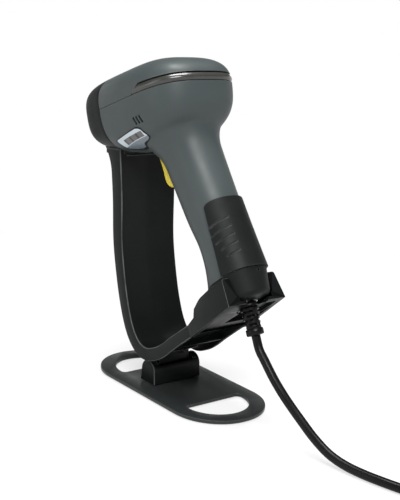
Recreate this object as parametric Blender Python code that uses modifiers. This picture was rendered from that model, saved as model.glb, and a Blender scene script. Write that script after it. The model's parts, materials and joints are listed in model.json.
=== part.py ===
"""Corded handheld barcode scanner standing in its hands-free stand, as separate pieces.

Metres, +Z up. The nose points along -Y and the origin lies under the middle of the base plate.
"""
import math

import bmesh
import bpy
from mathutils import Matrix, Vector

MM = 0.001

# Clearances
FIT = 0.3 * MM
SEAT_PLAY = 0.6 * MM

# Base plate and its non-slip pad
PLATE_LENGTH = 150 * MM
PLATE_WIDTH = 70 * MM
PLATE_THICK = 2.2 * MM
SLOT_EDGE = 37 * MM
SLOT_RIM = 11.3 * MM
SLOT_CORNER = 4 * MM
PAD_THICK = 0.8 * MM
PAD_INSET = 2 * MM

# Tilt hinge
HINGE_Y = -11.5 * MM
HINGE_Z = 12.6 * MM
PIN_RADIUS = 2 * MM
EAR_RADIUS = 7.8 * MM
EAR_FOOT_HALF = 8.6 * MM
EAR_THICK = 5.6 * MM
EAR_PLAY = 0.4 * MM
EAR_SKIN = 1.4 * MM
BRACKET_ROUND = 0.6 * MM
SADDLE_RISE = 4.2 * MM
SADDLE_PLAY = 0.5 * MM
KNUCKLE_RADIUS = 5 * MM
NECK_HALF_DEEP = 3.2 * MM
WASHER_THICK = 0.8 * MM
WASHER_RADIUS = 4.8 * MM
LEAF_THICK = 2 * MM
LEAF_LENGTH = 26 * MM
BRACKET_SCREW_RADIUS = 1.5 * MM
BRACKET_SCREW_HEAD = 3.2 * MM
BRACKET_SCREW_LENGTH = 7.5 * MM
LEAF_SCREW_RADIUS = 1.2 * MM
LEAF_SCREW_HEAD = 2.4 * MM
LEAF_SCREW_HEAD_HEIGHT = 1.2 * MM
LEAF_SCREW_REACH = 9.5 * MM
LEAF_SCREW_LENGTH = 3.6 * MM

# Stand arm: its inner line from the top down round the bend, in (y, z)
ARM_HALF_WIDTH = 23.5 * MM
ARM_LINE = [
    (-52.4 * MM, 178 * MM),
    (-50.9 * MM, 157 * MM),
    (-48.6 * MM, 131 * MM),
    (-46.6 * MM, 100 * MM),
    (-41.4 * MM, 75 * MM),
    (-35.3 * MM, 55 * MM),
    (-28.4 * MM, 40.4 * MM),
    (-20.4 * MM, 32.2 * MM),
    (-12 * MM, 30.2 * MM),
    (-2 * MM, 33.5 * MM),
    (6 * MM, 38.4 * MM),
]
ARM_SPREAD = 1.8 * MM
ARM_SPREAD_SHARE = 0.3
ARM_HEAD_GAP = 0.8 * MM
ARM_LIP = 5 * MM
ARM_LIP_SHARE = 0.14
ARM_DEPTH_TOP = 13 * MM
ARM_DEPTH_REAR = 8.5 * MM
ARM_WEB = 2.4 * MM
ARM_FLANGE = 2.4 * MM
ARM_CREASE = 1.6 * MM
ARM_TOP_WALL = 16 * MM
ARM_RIB = 2 * MM
ARM_RIBS = [0.262, 0.487, 0.617, 0.862]
ARM_STATIONS = 52
ARM_CREASE_FADE = 0.2

# Cup at the rear end of the arm, in the handle's frame
CUP_PROUD = 0.2 * MM
CUP_HALF_WIDTH = ARM_HALF_WIDTH + CUP_PROUD
CUP_STEP = 0.5 * MM
CUP_REAR = 10 * MM
CUP_FRONT = 38 * MM
CUP_TOP = 40.5 * MM
CUP_SHOULDER = 6 * MM
CUP_CHEEK_HIGH = (21 * MM, 1.3 * MM)
CUP_CHEEK_LOW = (11.3 * MM, 6 * MM)
CUP_CHEEK_FOOT = (8.4 * MM, 11.1 * MM)
CUP_CHAMFER_RISE = 3.9 * MM
CUP_CHAMFER_RUN = 6.4 * MM
CUP_RUN = 24 * MM
CUP_FLOOR = 3 * MM
CUP_WALL = 3 * MM
CUP_LEDGE = 27.5 * MM
CUP_NOTCH_HALF = 9.2 * MM

# Handle frame: a point on the handle's axis below its foot, and how far the axis leans
HANDLE_BASE_Y = 81.5 * MM
HANDLE_BASE_Z = 61.4 * MM
HANDLE_LEAN = math.radians(37)
FOOT_END = 24.5 * MM
FOOT_SEAM = 43 * MM
FOOT_HALF_END = 11 * MM
HANDLE_WAIST = 75 * MM
HANDLE_SPREAD_REACH = 50 * MM
HANDLE_SPREAD_HALF = 0.9 * MM
HANDLE_SPREAD_BACK = 0.5 * MM
HANDLE_SPREAD_FRONT = 1.2 * MM
HANDLE_SECTION = 0.92
FOOT_TAPER_POWER = 1.4
FOOT_TAPER_SHARE = 0.92
HANDLE_HALF_WIDTH = 18 * MM
HANDLE_BACK = 19.6 * MM
HANDLE_FRONT = 19.5 * MM
FRONT_WAIST = 69 * MM
FRONT_WAIST_DEEP = 3.9 * MM
FRONT_WAIST_REACH = 15.5 * MM
FRONT_KICK = 4.6 * MM
FRONT_KICK_START = 60 * MM
FRONT_KICK_REACH = 17 * MM
HANDLE_TOP = 158 * MM
FLARE_START = 128 * MM
FLARE_REACH = 11 * MM
WALL = 2.4 * MM
LIP_THICK = 1.4 * MM
LIP_HIGH = 4 * MM
PINHOLE_RADIUS = 0.7 * MM
PINHOLE_X = -1.6 * MM
PINHOLE_DROP = 1.5 * MM

# Head frame: place in the handle's frame, and how far the nose rises from square
HEAD_Y = 28.3 * MM
HEAD_Z = 172.9 * MM
HEAD_PITCH = math.radians(16.3)
HEAD_HALF_WIDTH = 36.1 * MM
HEAD_MID = -38 * MM
HEAD_BACK = 50.6 * MM
HEAD_FRONT = 52.7 * MM
TOP_RISE = 25.2 * MM
TOP_REAR_RISE = 21.9 * MM
BELLY_DROP = 26.7 * MM
BELLY_DEEP = 36.3 * MM
BEZEL_SPLIT = -66.8 * MM
TOP_LEVELS = [0.0, 0.22, 0.42, 0.58, 0.72, 0.83, 0.91, 0.965, 0.992]
BELLY_LEVELS = [-0.98, -0.92, -0.82, -0.68, -0.5, -0.27]
RING_POINTS = 40
NOSE_SQUARE = 10.6
BACK_SQUARE = 3.2
CROWN_POWER = 1.8
BELLY_POWER = 1.5
SIDE_BULGE = 2.7
BACK_BULGE = 2.8
BELLY_BACK_BULGE = 3.3
FRONT_BULGE = 4.4

# Nose: window and its opening in the bezel
WINDOW_HALF_WIDTH = 26.5 * MM
WINDOW_LOW = -18.5 * MM
WINDOW_HIGH = 15.5 * MM
WINDOW_THICK = 1.6 * MM
WINDOW_LIP = 2.5 * MM
WINDOW_FLARE = 4 * MM
WINDOW_FACE = -83 * MM

# Status strip round the back of the head
STRIP_HEIGHT = 6.3 * MM
STRIP_THICK = 2.2 * MM
STRIP_TIP = -29 * MM
STRIP_SLANT = 11 * MM
STRIP_SINK = 0.35 * MM

# Side label: outline in the head's (y, z), on the +X side
LABEL_OUTLINE = [
    (-59.5 * MM, -24.2 * MM),
    (-32 * MM, -21.7 * MM),
    (-28 * MM, -22.9 * MM),
    (-25.4 * MM, -28.9 * MM),
    (-28 * MM, -30.2 * MM),
    (-35.5 * MM, -31.4 * MM),
    (-37.5 * MM, -33.6 * MM),
    (-47 * MM, -33 * MM),
    (-57.4 * MM, -30.4 * MM),
]
LABEL_THICK = 0.6 * MM
LABEL_X = HEAD_HALF_WIDTH / 3

# Sound slots on the +X side
SOUND_SLOTS = 3
SOUND_PITCH = 3.1 * MM
SOUND_WIDTH = 1.1 * MM
SOUND_LENGTH = 4.4 * MM
SOUND_Y = -26.8 * MM
SOUND_Z = -14.9 * MM
SOUND_SLANT = 0.9 * MM

# Trigger, in the handle's frame
TRIGGER_PIVOT_Y = -16 * MM
TRIGGER_PIVOT_Z = 150 * MM
TRIGGER_HALF_WIDTH = 9 * MM
TRIGGER_OUTLINE = [
    (-22.5 * MM, 156 * MM),
    (-25.8 * MM, 152 * MM),
    (-25.4 * MM, 144 * MM),
    (-25.9 * MM, 135.4 * MM),
    (-27.4 * MM, 128.4 * MM),
    (-27.1 * MM, 125 * MM),
    (-25.6 * MM, 122.4 * MM),
    (-22.4 * MM, 120.8 * MM),
    (-18.4 * MM, 121.2 * MM),
    (-17 * MM, 126 * MM),
    (-17 * MM, 140 * MM),
    (-12.8 * MM, 147 * MM),
    (-12.8 * MM, 153 * MM),
    (-16 * MM, 156 * MM),
]
TRIGGER_ROUND = 1.6 * MM
TRIGGER_PIN_RADIUS = 1.2 * MM
TRIGGER_PLAY = 0.7 * MM
LUG_THICK = 3 * MM
LUG_LOW = 147 * MM
LUG_HIGH = 155 * MM
LUG_BACK = 4.5 * MM
LUG_FRONT_LOW = -22.4 * MM
LUG_FRONT_HIGH = -27 * MM
SWITCH_Z = 128 * MM
SWITCH_HALF = 3 * MM
SWITCH_DEEP = 3.5 * MM
PLUNGER_RADIUS = 1 * MM
PLUNGER_LENGTH = 3.4 * MM
PLUNGER_OUT = 2.3 * MM
RIB_HALF_WIDTH = 2 * MM
RIB_HALF_HIGH = 2 * MM
RIB_LENGTH = 6 * MM

# Boards, jack and what they carry
HANDLE_BOARD_FACE = -6.3 * MM
BOARD_THICK = 1.2 * MM
HANDLE_BOARD_HALF = 12.5 * MM
HANDLE_BOARD_LOW = 42 * MM
HANDLE_BOARD_HIGH = 136 * MM
RAIL_LOW = 60 * MM
RAIL_HIGH = 112 * MM
RAIL_OUT = HANDLE_HALF_WIDTH - 3.6 * MM
RAIL_THICK = 1.5 * MM
MAIN_BOARD_TOP = -3.3 * MM
MAIN_BOARD_HALF = HEAD_HALF_WIDTH - 7.1 * MM
MAIN_BOARD_FRONT = -58 * MM
MAIN_BOARD_BACK = -17 * MM
LEDGE_IN = HEAD_HALF_WIDTH - 11.1 * MM
LEDGE_OUT = HEAD_HALF_WIDTH - 2.5 * MM
LEDGE_DEEP = 3 * MM
BOARD_SCREW_X = HEAD_HALF_WIDTH - 9.1 * MM
BOARD_SCREW_Y = -38 * MM
BOARD_SCREW_RADIUS = 0.9 * MM
BOARD_SCREW_HEAD = 1.6 * MM
BOARD_SCREW_LENGTH = 4 * MM
ENGINE_FRONT = -66 * MM
ENGINE_BACK = -44 * MM
ENGINE_HALF = 13 * MM
ENGINE_HIGH = 13 * MM
LENS_RADIUS = 5 * MM
LENS_LENGTH = 2.5 * MM
BUZZER_RADIUS = 6 * MM
BUZZER_HIGH = 5 * MM
BUZZER_ROOM = 1 * MM
BUZZER_X = LEDGE_IN - BUZZER_RADIUS - BUZZER_ROOM
BUZZER_Y = -30 * MM
RIBBON_HALF = 5 * MM
RIBBON_THICK = 0.4 * MM
RIBBON_LOW = 116 * MM
RIBBON_RISE = 8 * MM
RIBBON_BEND = [(-1 * MM, 148 * MM), (5 * MM, 160 * MM)]
RIBBON_DROP = 4 * MM
RIBBON_HEAD = [-25 * MM, -31 * MM, -40 * MM]
JACK_HALF = 8 * MM
JACK_BACK = 6.4 * MM
JACK_LOW = 36 * MM
JACK_HIGH = 58 * MM
JACK_ROOF = 2 * MM

# Handle grip on the back of the handle
GRIP_PROUD = 0.4 * MM
GRIP_DEEP = 1.3 * MM
GRIP_LOW = 44.5 * MM
GRIP_HIGH = 93 * MM
GRIP_EDGE_LOW = 6 * MM
GRIP_EDGE_HIGH = 10.4 * MM
GRIP_CORNER_DROP = 4 * MM
GRIP_RIBS = 5
GRIP_RIB_TOP = 79.2 * MM
GRIP_RIB_PITCH = 5.85 * MM
GRIP_RIB_WIDTH = 1.4 * MM
GRIP_RIB_DEEP = 0.8 * MM
GRIP_RIB_TILT = math.radians(19.3)
GRIP_RIB_START = 11 * MM
GRIP_RIB_SHORTEN = 1.05 * MM
GRIP_SPINE_HALF = 4.5 * MM

# Lead: plug in the handle's foot, strain relief, cable, coil of the unseen length, far plug
PLUG_HALF_WIDTH = 5.9 * MM
PLUG_HALF_DEEP = 4.2 * MM
PLUG_TOP = 52 * MM
PLUG_PLAY = 0.5 * MM
BOOT_TILT = math.radians(-9.7)
BOOT_LENGTH = 23.5 * MM
BOOT_TOP_RADIUS = 6.6 * MM
BOOT_END_RADIUS = 4.2 * MM
BOOT_FLANGE_RADIUS = 4.9 * MM
BOOT_FLANGE_LENGTH = 3.2 * MM
BOOT_SEGMENTS = 5
BOOT_GROOVE = 0.9 * MM
CABLE_RADIUS = 3 * MM
CABLE_ROUTE = [
    (0, 86.9 * MM, 47.9 * MM),
    (0, 97.5 * MM, 37.9 * MM),
    (0, 110 * MM, 28.6 * MM),
    (0, 124 * MM, 20 * MM),
    (0, 138 * MM, 12.2 * MM),
    (-0.6 * MM, 152 * MM, 6.6 * MM),
    (-2.4 * MM, 168 * MM, 4.1 * MM),
    (-7 * MM, 192 * MM, 3.6 * MM),
    (-15.5 * MM, 222 * MM, 3.7 * MM),
    (-26.5 * MM, 252 * MM, 4.1 * MM),
]
CABLE_STEP = 13 * MM
COIL_X = 15 * MM
COIL_Y = 285 * MM
COIL_INNER = 26 * MM
COIL_PITCH = 6.6 * MM
COIL_TURNS_A_LAYER = 3.25
COIL_LOOP_POINTS = 24
COIL_LIFT = 4.3 * MM
TAIL_ROUTE = [
    (62.6 * MM, 262 * MM, 8.4 * MM),
    (63.2 * MM, 246 * MM, 5.6 * MM),
    (63.4 * MM, 232 * MM, 5 * MM),
]
TIE_THICK = 0.5 * MM
TIE_HALF_WIDTH = 3 * MM
TIE_CLEAR = 0.6 * MM
TIE_CORNER = 4 * MM
USB_HALF_WIDTH = 6 * MM
USB_BODY_LENGTH = 26 * MM
USB_HALF_HIGH = 4.2 * MM
USB_SHELL_HALF_WIDTH = 6 * MM
USB_SHELL_HALF_HIGH = 2.2 * MM
USB_SHELL_LENGTH = 15 * MM
USB_ROUND = 1.4 * MM

# Finishes: base colour, roughness, metallic
FINISHES = {
    "slate_plastic": ((0.075, 0.085, 0.088), 0.48, 0.0),
    "black_plastic": ((0.022, 0.023, 0.024), 0.5, 0.0),
    "dark_rubber": ((0.03, 0.031, 0.033), 0.72, 0.0),
    "black_steel": ((0.02, 0.021, 0.022), 0.35, 0.2),
    "bright_steel": ((0.6, 0.6, 0.6), 0.3, 1.0),
    "yellow_plastic": ((0.72, 0.55, 0.03), 0.4, 0.0),
    "smoke_lens": ((0.1, 0.07, 0.06), 0.12, 0.0),
    "red_window": ((0.09, 0.008, 0.01), 0.08, 0.0),
    "silver_label": ((0.42, 0.5, 0.58), 0.4, 0.0),
    "green_board": ((0.02, 0.12, 0.05), 0.5, 0.0),
    "amber_film": ((0.35, 0.17, 0.03), 0.45, 0.0),
    "clear_plastic": ((0.5, 0.52, 0.55), 0.2, 0.0),
    "lens_glass": ((0.05, 0.06, 0.09), 0.05, 0.0),
}


def start_scene():
    """Empties the scene and makes the two collections."""
    for item in list(bpy.data.objects):
        bpy.data.objects.remove(item, do_unlink=True)
    made = []
    for title in ("barcode_scanner", "cutters"):
        group = bpy.data.collections.new(title)
        bpy.context.scene.collection.children.link(group)
        made.append(group)
    return made


PARTS, CUTTERS = start_scene()


def finish_material(title):
    """The named finish as a material, made once."""
    found = bpy.data.materials.get(title)
    if found:
        return found
    colour, roughness, metallic = FINISHES[title]
    made = bpy.data.materials.new(title)
    made.use_nodes = True
    shader = made.node_tree.nodes["Principled BSDF"]
    shader.inputs["Base Color"].default_value = (*colour, 1.0)
    shader.inputs["Roughness"].default_value = roughness
    shader.inputs["Metallic"].default_value = metallic
    return made


def put(name, data, parent=None, finish=None):
    """Adds an object: a part where it has a finish, and otherwise a cutter."""
    item = bpy.data.objects.new(name, data)
    item.parent = parent
    if finish:
        PARTS.objects.link(item)
        data.materials.append(finish_material(finish))
    else:
        CUTTERS.objects.link(item)
        item.hide_render = True
        item.display_type = 'WIRE'
    return item


def axis(name, parent, place, turn=0.0):
    """An empty that carries pieces, turned about X."""
    item = bpy.data.objects.new(name, None)
    PARTS.objects.link(item)
    item.parent = parent
    item.location = place
    item.rotation_euler = (turn, 0.0, 0.0)
    return item


def mesh_of(name, shape):
    """Writes a bmesh to a new mesh, with its faces outward."""
    bmesh.ops.recalc_face_normals(shape, faces=shape.faces)
    made = bpy.data.meshes.new(name)
    shape.to_mesh(made)
    shape.free()
    return made


def loft(name, rings, parent, finish=None):
    """A closed solid through rings that have the same number of points."""
    shape = bmesh.new()
    loops = [[shape.verts.new(point) for point in ring] for ring in rings]
    for near, far in zip(loops, loops[1:]):
        for i in range(len(near)):
            shape.faces.new((near[i - 1], near[i], far[i], far[i - 1]))
    shape.faces.new(loops[0])
    shape.faces.new(loops[-1])
    return put(name, mesh_of(name, shape), parent, finish)


def prism(name, outline, low, high, parent, finish=None):
    """A (y, z) outline extruded along X."""
    rings = [[(x, y, z) for y, z in outline] for x in (low, high)]
    return loft(name, rings, parent, finish)


def box(name, low, high, parent, finish=None):
    """A block between two corners."""
    low, high = Vector(low), Vector(high)
    size = Matrix.Diagonal((*(high - low), 1.0))
    shape = bmesh.new()
    bmesh.ops.create_cube(shape, size=1.0, matrix=Matrix.Translation((low + high) / 2) @ size)
    return put(name, mesh_of(name, shape), parent, finish)


def rod(name, radius, start, end, parent, finish=None, sides=20):
    """A cylinder between two points."""
    start, end = Vector(start), Vector(end)
    along = end - start
    turn = along.to_track_quat('Z', 'Y').to_matrix().to_4x4()
    shape = bmesh.new()
    bmesh.ops.create_cone(shape, cap_ends=True, segments=sides, radius1=radius, radius2=radius,
                          depth=along.length, matrix=Matrix.Translation((start + end) / 2) @ turn)
    return put(name, mesh_of(name, shape), parent, finish)


def turned(name, profile, parent, finish, sides=20):
    """A solid of revolution about Z from (radius, height) points, top to bottom."""
    shape = bmesh.new()
    points = [shape.verts.new((radius, 0.0, height)) for radius, height in profile]
    for upper, lower in zip(points, points[1:]):
        shape.edges.new((upper, lower))
    made = bpy.data.meshes.new(name)
    shape.to_mesh(made)
    shape.free()
    item = put(name, made, parent, finish)
    screw = item.modifiers.new("revolve", 'SCREW')
    screw.steps = sides
    screw.render_steps = sides
    screw.use_merge_vertices = True
    screw.merge_threshold = 0.00001
    return item


def change(target, other, operation):
    """Cuts, joins or keeps the common part of one solid with another."""
    step = target.modifiers.new(operation.lower(), 'BOOLEAN')
    step.operation = operation
    step.object = other
    step.solver = 'EXACT'


def cut(target, *others):
    for other in others:
        change(target, other, 'DIFFERENCE')


def join(target, *others):
    for other in others:
        change(target, other, 'UNION')


def keep(target, other):
    change(target, other, 'INTERSECT')


def round_edges(target, width, segments=2):
    """Rounds the sharp edges of a solid."""
    step = target.modifiers.new("round", 'BEVEL')
    step.width = width
    step.segments = segments
    step.limit_method = 'ANGLE'
    step.angle_limit = math.radians(40)


def flat_sheet(name, outlines, low, thick, finish):
    """A flat plate from (x, y) outlines, the first outside and the rest holes."""
    curve = bpy.data.curves.new(name, 'CURVE')
    curve.dimensions = '2D'
    curve.fill_mode = 'BOTH'
    curve.extrude = thick / 2
    for outline in outlines:
        spline = curve.splines.new('POLY')
        spline.points.add(len(outline) - 1)
        for point, (x, y) in zip(spline.points, outline):
            point.co = (x, y, 0.0, 1.0)
        spline.use_cyclic_u = True
    item = put(name, curve, None, finish)
    item.location = (0.0, 0.0, low + thick / 2)
    return item


def wire(name, points, radius, resolution, finish):
    """A round tube with closed ends along points."""
    curve = bpy.data.curves.new(name, 'CURVE')
    curve.dimensions = '3D'
    curve.bevel_depth = radius
    curve.bevel_resolution = resolution
    curve.use_fill_caps = True
    spline = curve.splines.new('POLY')
    spline.points.add(len(points) - 1)
    for point, place in zip(spline.points, points):
        point.co = (*place, 1.0)
    return put(name, curve, None, finish)


def arc(centre, radius, start, end, steps):
    """Points on an arc, angles in degrees."""
    points = []
    for i in range(steps + 1):
        angle = math.radians(start + (end - start) * i / steps)
        points.append((centre[0] + radius * math.cos(angle), centre[1] + radius * math.sin(angle)))
    return points


def smooth_line(points, step):
    """Points about a step apart on a smooth curve through the given ones."""
    knots = [Vector(point) for point in points]
    reach = [0.0]
    for before, after in zip(knots, knots[1:]):
        reach.append(reach[-1] + (after - before).length)
    slopes = []
    last = len(knots) - 1
    for i in range(len(knots)):
        low, high = max(i - 1, 0), min(i + 1, last)
        slopes.append((knots[high] - knots[low]) / (reach[high] - reach[low]))
    line = []
    for i in range(last):
        span = reach[i + 1] - reach[i]
        count = max(1, round(span / step))
        for j in range(count):
            t = j / count
            line.append(knots[i] * (1 + 2 * t) * (1 - t) ** 2 + knots[i + 1] * t * t * (3 - 2 * t)
                        + slopes[i] * span * t * (1 - t) ** 2 - slopes[i + 1] * span * t * t * (1 - t))
    line.append(knots[last])
    return line


def bulge(share, power):
    """Half width left at a share of the height on a rounded side."""
    return (1 - abs(share) ** power) ** (1 / power)


def signed_power(value, power):
    return math.copysign(abs(value) ** power, value)


# Handle and head forms, used as outsides, insides, recesses and seats


def handle_front(z):
    """How far the handle's front stands from its axis: a waist, and a kick toward the foot."""
    lean = ((z - HANDLE_WAIST) / HANDLE_SPREAD_REACH) ** 2
    waist = FRONT_WAIST_DEEP * math.exp(-((z - FRONT_WAIST) / FRONT_WAIST_REACH) ** 2)
    kick = FRONT_KICK * (max(0.0, FRONT_KICK_START - z) / FRONT_KICK_REACH) ** 2
    return HANDLE_FRONT + HANDLE_SPREAD_FRONT * lean - waist + kick


def handle_ring(z, inset):
    """The handle's section at a height, drawn in by an inset."""
    lean = ((z - HANDLE_WAIST) / HANDLE_SPREAD_REACH) ** 2
    flare = FLARE_REACH * (max(0.0, z - FLARE_START) / (HANDLE_TOP - FLARE_START)) ** 2
    half = HANDLE_HALF_WIDTH + HANDLE_SPREAD_HALF * lean + flare - inset
    back = HANDLE_BACK + HANDLE_SPREAD_BACK * lean + flare - inset
    front = handle_front(z) + flare - inset
    ring = []
    for i in range(RING_POINTS):
        angle = 2 * math.pi * i / RING_POINTS
        x = half * signed_power(math.cos(angle), HANDLE_SECTION)
        y = signed_power(math.sin(angle), HANDLE_SECTION)
        ring.append((x, y * (back if y > 0 else front), z))
    return ring


def handle_form(name, low, high, inset, parent):
    """The handle between two heights."""
    count = max(2, math.ceil((high - low) / (9 * MM)))
    rings = [handle_ring(low + (high - low) * i / count, inset) for i in range(count + 1)]
    return loft(name, rings, parent)


def foot_ring(z, inset):
    """The tapered foot's section, which meets the handle at the foot seam."""
    share = min(1.0, max(0.0, (FOOT_SEAM - z) / (FOOT_SEAM - FOOT_END)))
    taper = 1 - FOOT_TAPER_SHARE * share ** FOOT_TAPER_POWER * (1 - FOOT_HALF_END / HANDLE_HALF_WIDTH)
    ring = []
    for x, y, _ in handle_ring(FOOT_SEAM, 0.0):
        side = Vector((x, y)) * taper
        side -= side.normalized() * inset
        ring.append((side.x, side.y, z))
    return ring


def foot_form(name, low, high, inset, parent, finish=None):
    """The foot between two heights, straight below its end."""
    count = 5
    rings = [foot_ring(low + (high - low) * i / count, inset) for i in range(count + 1)]
    return loft(name, rings, parent, finish)


def top_height(y):
    """How high the top cover's crown stands at a place along the head."""
    share = max(0.0, (y - BEZEL_SPLIT) / (HEAD_MID + HEAD_BACK - BEZEL_SPLIT))
    return TOP_RISE - (TOP_RISE - TOP_REAR_RISE) * share ** CROWN_POWER


def belly_depth(y):
    """How far the head's underside hangs at a place along the head."""
    front = HEAD_MID - HEAD_FRONT
    share = (y - front) / (HEAD_BACK + HEAD_FRONT)
    swell = math.sin(math.pi * min(1.0, max(0.0, share))) ** BELLY_POWER
    return BELLY_DROP + (BELLY_DEEP - BELLY_DROP) * swell


def head_ring(level, inset):
    """The head's outline at a share of its height, above or below the seam."""
    above = level >= 0
    half = (HEAD_HALF_WIDTH - inset) * bulge(level, SIDE_BULGE)
    back = (HEAD_BACK - inset) * bulge(level, BACK_BULGE if above else BELLY_BACK_BULGE)
    front = (HEAD_FRONT - inset) * bulge(level, FRONT_BULGE)
    ring = []
    for i in range(RING_POINTS):
        angle = 2 * math.pi * i / RING_POINTS
        power = 2 / (BACK_SQUARE if math.sin(angle) > 0 else NOSE_SQUARE)
        x = half * signed_power(math.cos(angle), power)
        y = signed_power(math.sin(angle), power)
        y = HEAD_MID + y * (back if y > 0 else front)
        height = (top_height(y) if above else belly_depth(y)) - inset
        ring.append((x, y, level * height))
    return ring


def head_form(name, inset, parent, finish=None):
    """The whole head, nose included."""
    return loft(name, [head_ring(level, inset) for level in BELLY_LEVELS + TOP_LEVELS], parent, finish)


# Frames that carry the pieces

arm_axis = axis("arm_axis", None, (0.0, HINGE_Y, HINGE_Z))
scanner_axis = axis("scanner_axis", None, (0.0, HANDLE_BASE_Y, HANDLE_BASE_Z), HANDLE_LEAN)
cup_axis = axis("cup_axis", arm_axis, (0.0, HANDLE_BASE_Y - HINGE_Y, HANDLE_BASE_Z - HINGE_Z), HANDLE_LEAN)
boot_drop = FIT - BOOT_TOP_RADIUS * math.sin(BOOT_TILT)
boot_axis = axis("boot_axis", scanner_axis, (0.0, 0.0, FOOT_END - boot_drop), BOOT_TILT)
head_axis = axis("head_axis", scanner_axis, (0.0, HEAD_Y, HEAD_Z), -HEAD_PITCH)
trigger_axis = axis("trigger_axis", scanner_axis, (0.0, TRIGGER_PIVOT_Y, TRIGGER_PIVOT_Z))


def on_frame(y, z):
    """World (y, z) of a point in the handle's frame."""
    return (HANDLE_BASE_Y + y * math.cos(HANDLE_LEAN) - z * math.sin(HANDLE_LEAN),
            HANDLE_BASE_Z + y * math.sin(HANDLE_LEAN) + z * math.cos(HANDLE_LEAN))


# Base plate, pad, bracket, pin and washers

plate_low = PAD_THICK + FIT
plate_top = plate_low + PLATE_THICK
hinge_half = ARM_HALF_WIDTH - ARM_FLANGE - EAR_PLAY
ear_inner = hinge_half - EAR_THICK
screw_x = hinge_half - EAR_THICK / 2
end_centre = PLATE_LENGTH / 2 - PLATE_WIDTH / 2


def stadium(inset):
    """The plate's outline, drawn in by an inset."""
    radius = PLATE_WIDTH / 2 - inset
    return arc((0.0, end_centre), radius, 0, 180, 24) + arc((0.0, -end_centre), radius, 180, 360, 24)


def slot(side, grow):
    """A half-moon slot whose straight side faces the hinge."""
    radius = PLATE_WIDTH / 2 - SLOT_RIM + grow
    edge = SLOT_EDGE - grow
    points = arc((0.0, end_centre), radius, 8, 172, 20)
    points += arc((SLOT_CORNER - radius, edge + SLOT_CORNER), SLOT_CORNER, 180, 270, 4)
    points += arc((radius - SLOT_CORNER, edge + SLOT_CORNER), SLOT_CORNER, 270, 360, 4)
    return [(x, side * y) for x, y in points]


def base_holes(radius):
    """The two screw holes under the hinge."""
    return [arc((side * screw_x, HINGE_Y), radius, 0, 345, 23) for side in (-1, 1)]


flat_sheet("base_plate", [stadium(0.0), slot(1, 0.0), slot(-1, 0.0)]
           + base_holes(BRACKET_SCREW_RADIUS + FIT), plate_low, PLATE_THICK, "black_steel")
flat_sheet("base_pad", [stadium(PAD_INSET), slot(1, PAD_INSET), slot(-1, PAD_INSET)]
           + base_holes(BRACKET_SCREW_HEAD + FIT), 0.0, PAD_THICK, "dark_rubber")

bracket_low = plate_top + FIT
ear_outline = [(HINGE_Y - EAR_FOOT_HALF, bracket_low), (HINGE_Y + EAR_FOOT_HALF, bracket_low)]
ear_outline += arc((HINGE_Y, HINGE_Z), EAR_RADIUS, 0, 180, 12)
bracket = prism("hinge_bracket", ear_outline, -hinge_half, hinge_half, None, "black_plastic")
round_edges(bracket, BRACKET_ROUND)
clear = EAR_FOOT_HALF + EAR_RADIUS
saddle_half = KNUCKLE_RADIUS + SADDLE_PLAY
cut(bracket, box("bracket_gap", (-ear_inner, HINGE_Y - clear, HINGE_Z + SADDLE_RISE),
                 (ear_inner, HINGE_Y + clear, HINGE_Z + clear), None))
cut(bracket, box("saddle_mouth", (-ear_inner, HINGE_Y - saddle_half, HINGE_Z),
                 (ear_inner, HINGE_Y + saddle_half, HINGE_Z + clear), None))
cut(bracket, rod("saddle_room", saddle_half, (-ear_inner, HINGE_Y, HINGE_Z),
                 (ear_inner, HINGE_Y, HINGE_Z), None, sides=28))
pin_half = hinge_half - EAR_SKIN
cut(bracket, rod("bracket_bore", PIN_RADIUS + FIT, (-pin_half, HINGE_Y, HINGE_Z),
                 (pin_half, HINGE_Y, HINGE_Z), None))
rod("hinge_pin", PIN_RADIUS, (FIT - pin_half, HINGE_Y, HINGE_Z), (pin_half - FIT, HINGE_Y, HINGE_Z),
    None, "bright_steel")

head_low = FIT / 3
head_high = plate_low - FIT
screw_tip = head_high + BRACKET_SCREW_LENGTH
for side, title in ((-1, "left"), (1, "right")):
    screw = turned("bracket_screw_" + title,
                   [(0.0, screw_tip), (BRACKET_SCREW_RADIUS, screw_tip), (BRACKET_SCREW_RADIUS, head_high),
                    (BRACKET_SCREW_HEAD, head_high), (BRACKET_SCREW_HEAD, head_low), (0.0, head_low)],
                   None, "bright_steel", 16)
    screw.location = (side * screw_x, HINGE_Y, 0.0)
    cut(bracket, rod("bracket_screw_hole_" + title, BRACKET_SCREW_RADIUS + FIT,
                     (side * screw_x, HINGE_Y, 0.0), (side * screw_x, HINGE_Y, screw_tip + FIT), None))
    washer = rod("friction_washer_" + title, WASHER_RADIUS,
                 (side * (ear_inner - FIT - WASHER_THICK), 0.0, 0.0),
                 (side * (ear_inner - FIT), 0.0, 0.0), arm_axis, "bright_steel")
    cut(washer, rod("washer_bore_" + title, PIN_RADIUS + FIT, (-hinge_half, 0.0, 0.0),
                    (hinge_half, 0.0, 0.0), arm_axis))

# Stand arm: a channel whose flanges point away from the handle, with the cup at its rear end

arm_knots = [(0.0, y, z) for y, z in ARM_LINE]
arm_knots.append((0.0, *on_frame(-CUP_FRONT - CUP_RUN, CUP_LEDGE)))
arm_knots.append((0.0, *on_frame(CUP_WALL - CUP_FRONT, CUP_LEDGE)))
arm_line = smooth_line(arm_knots, 5 * MM)
arm_reach = sum((after - before).length for before, after in zip(arm_line, arm_line[1:]))


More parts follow.
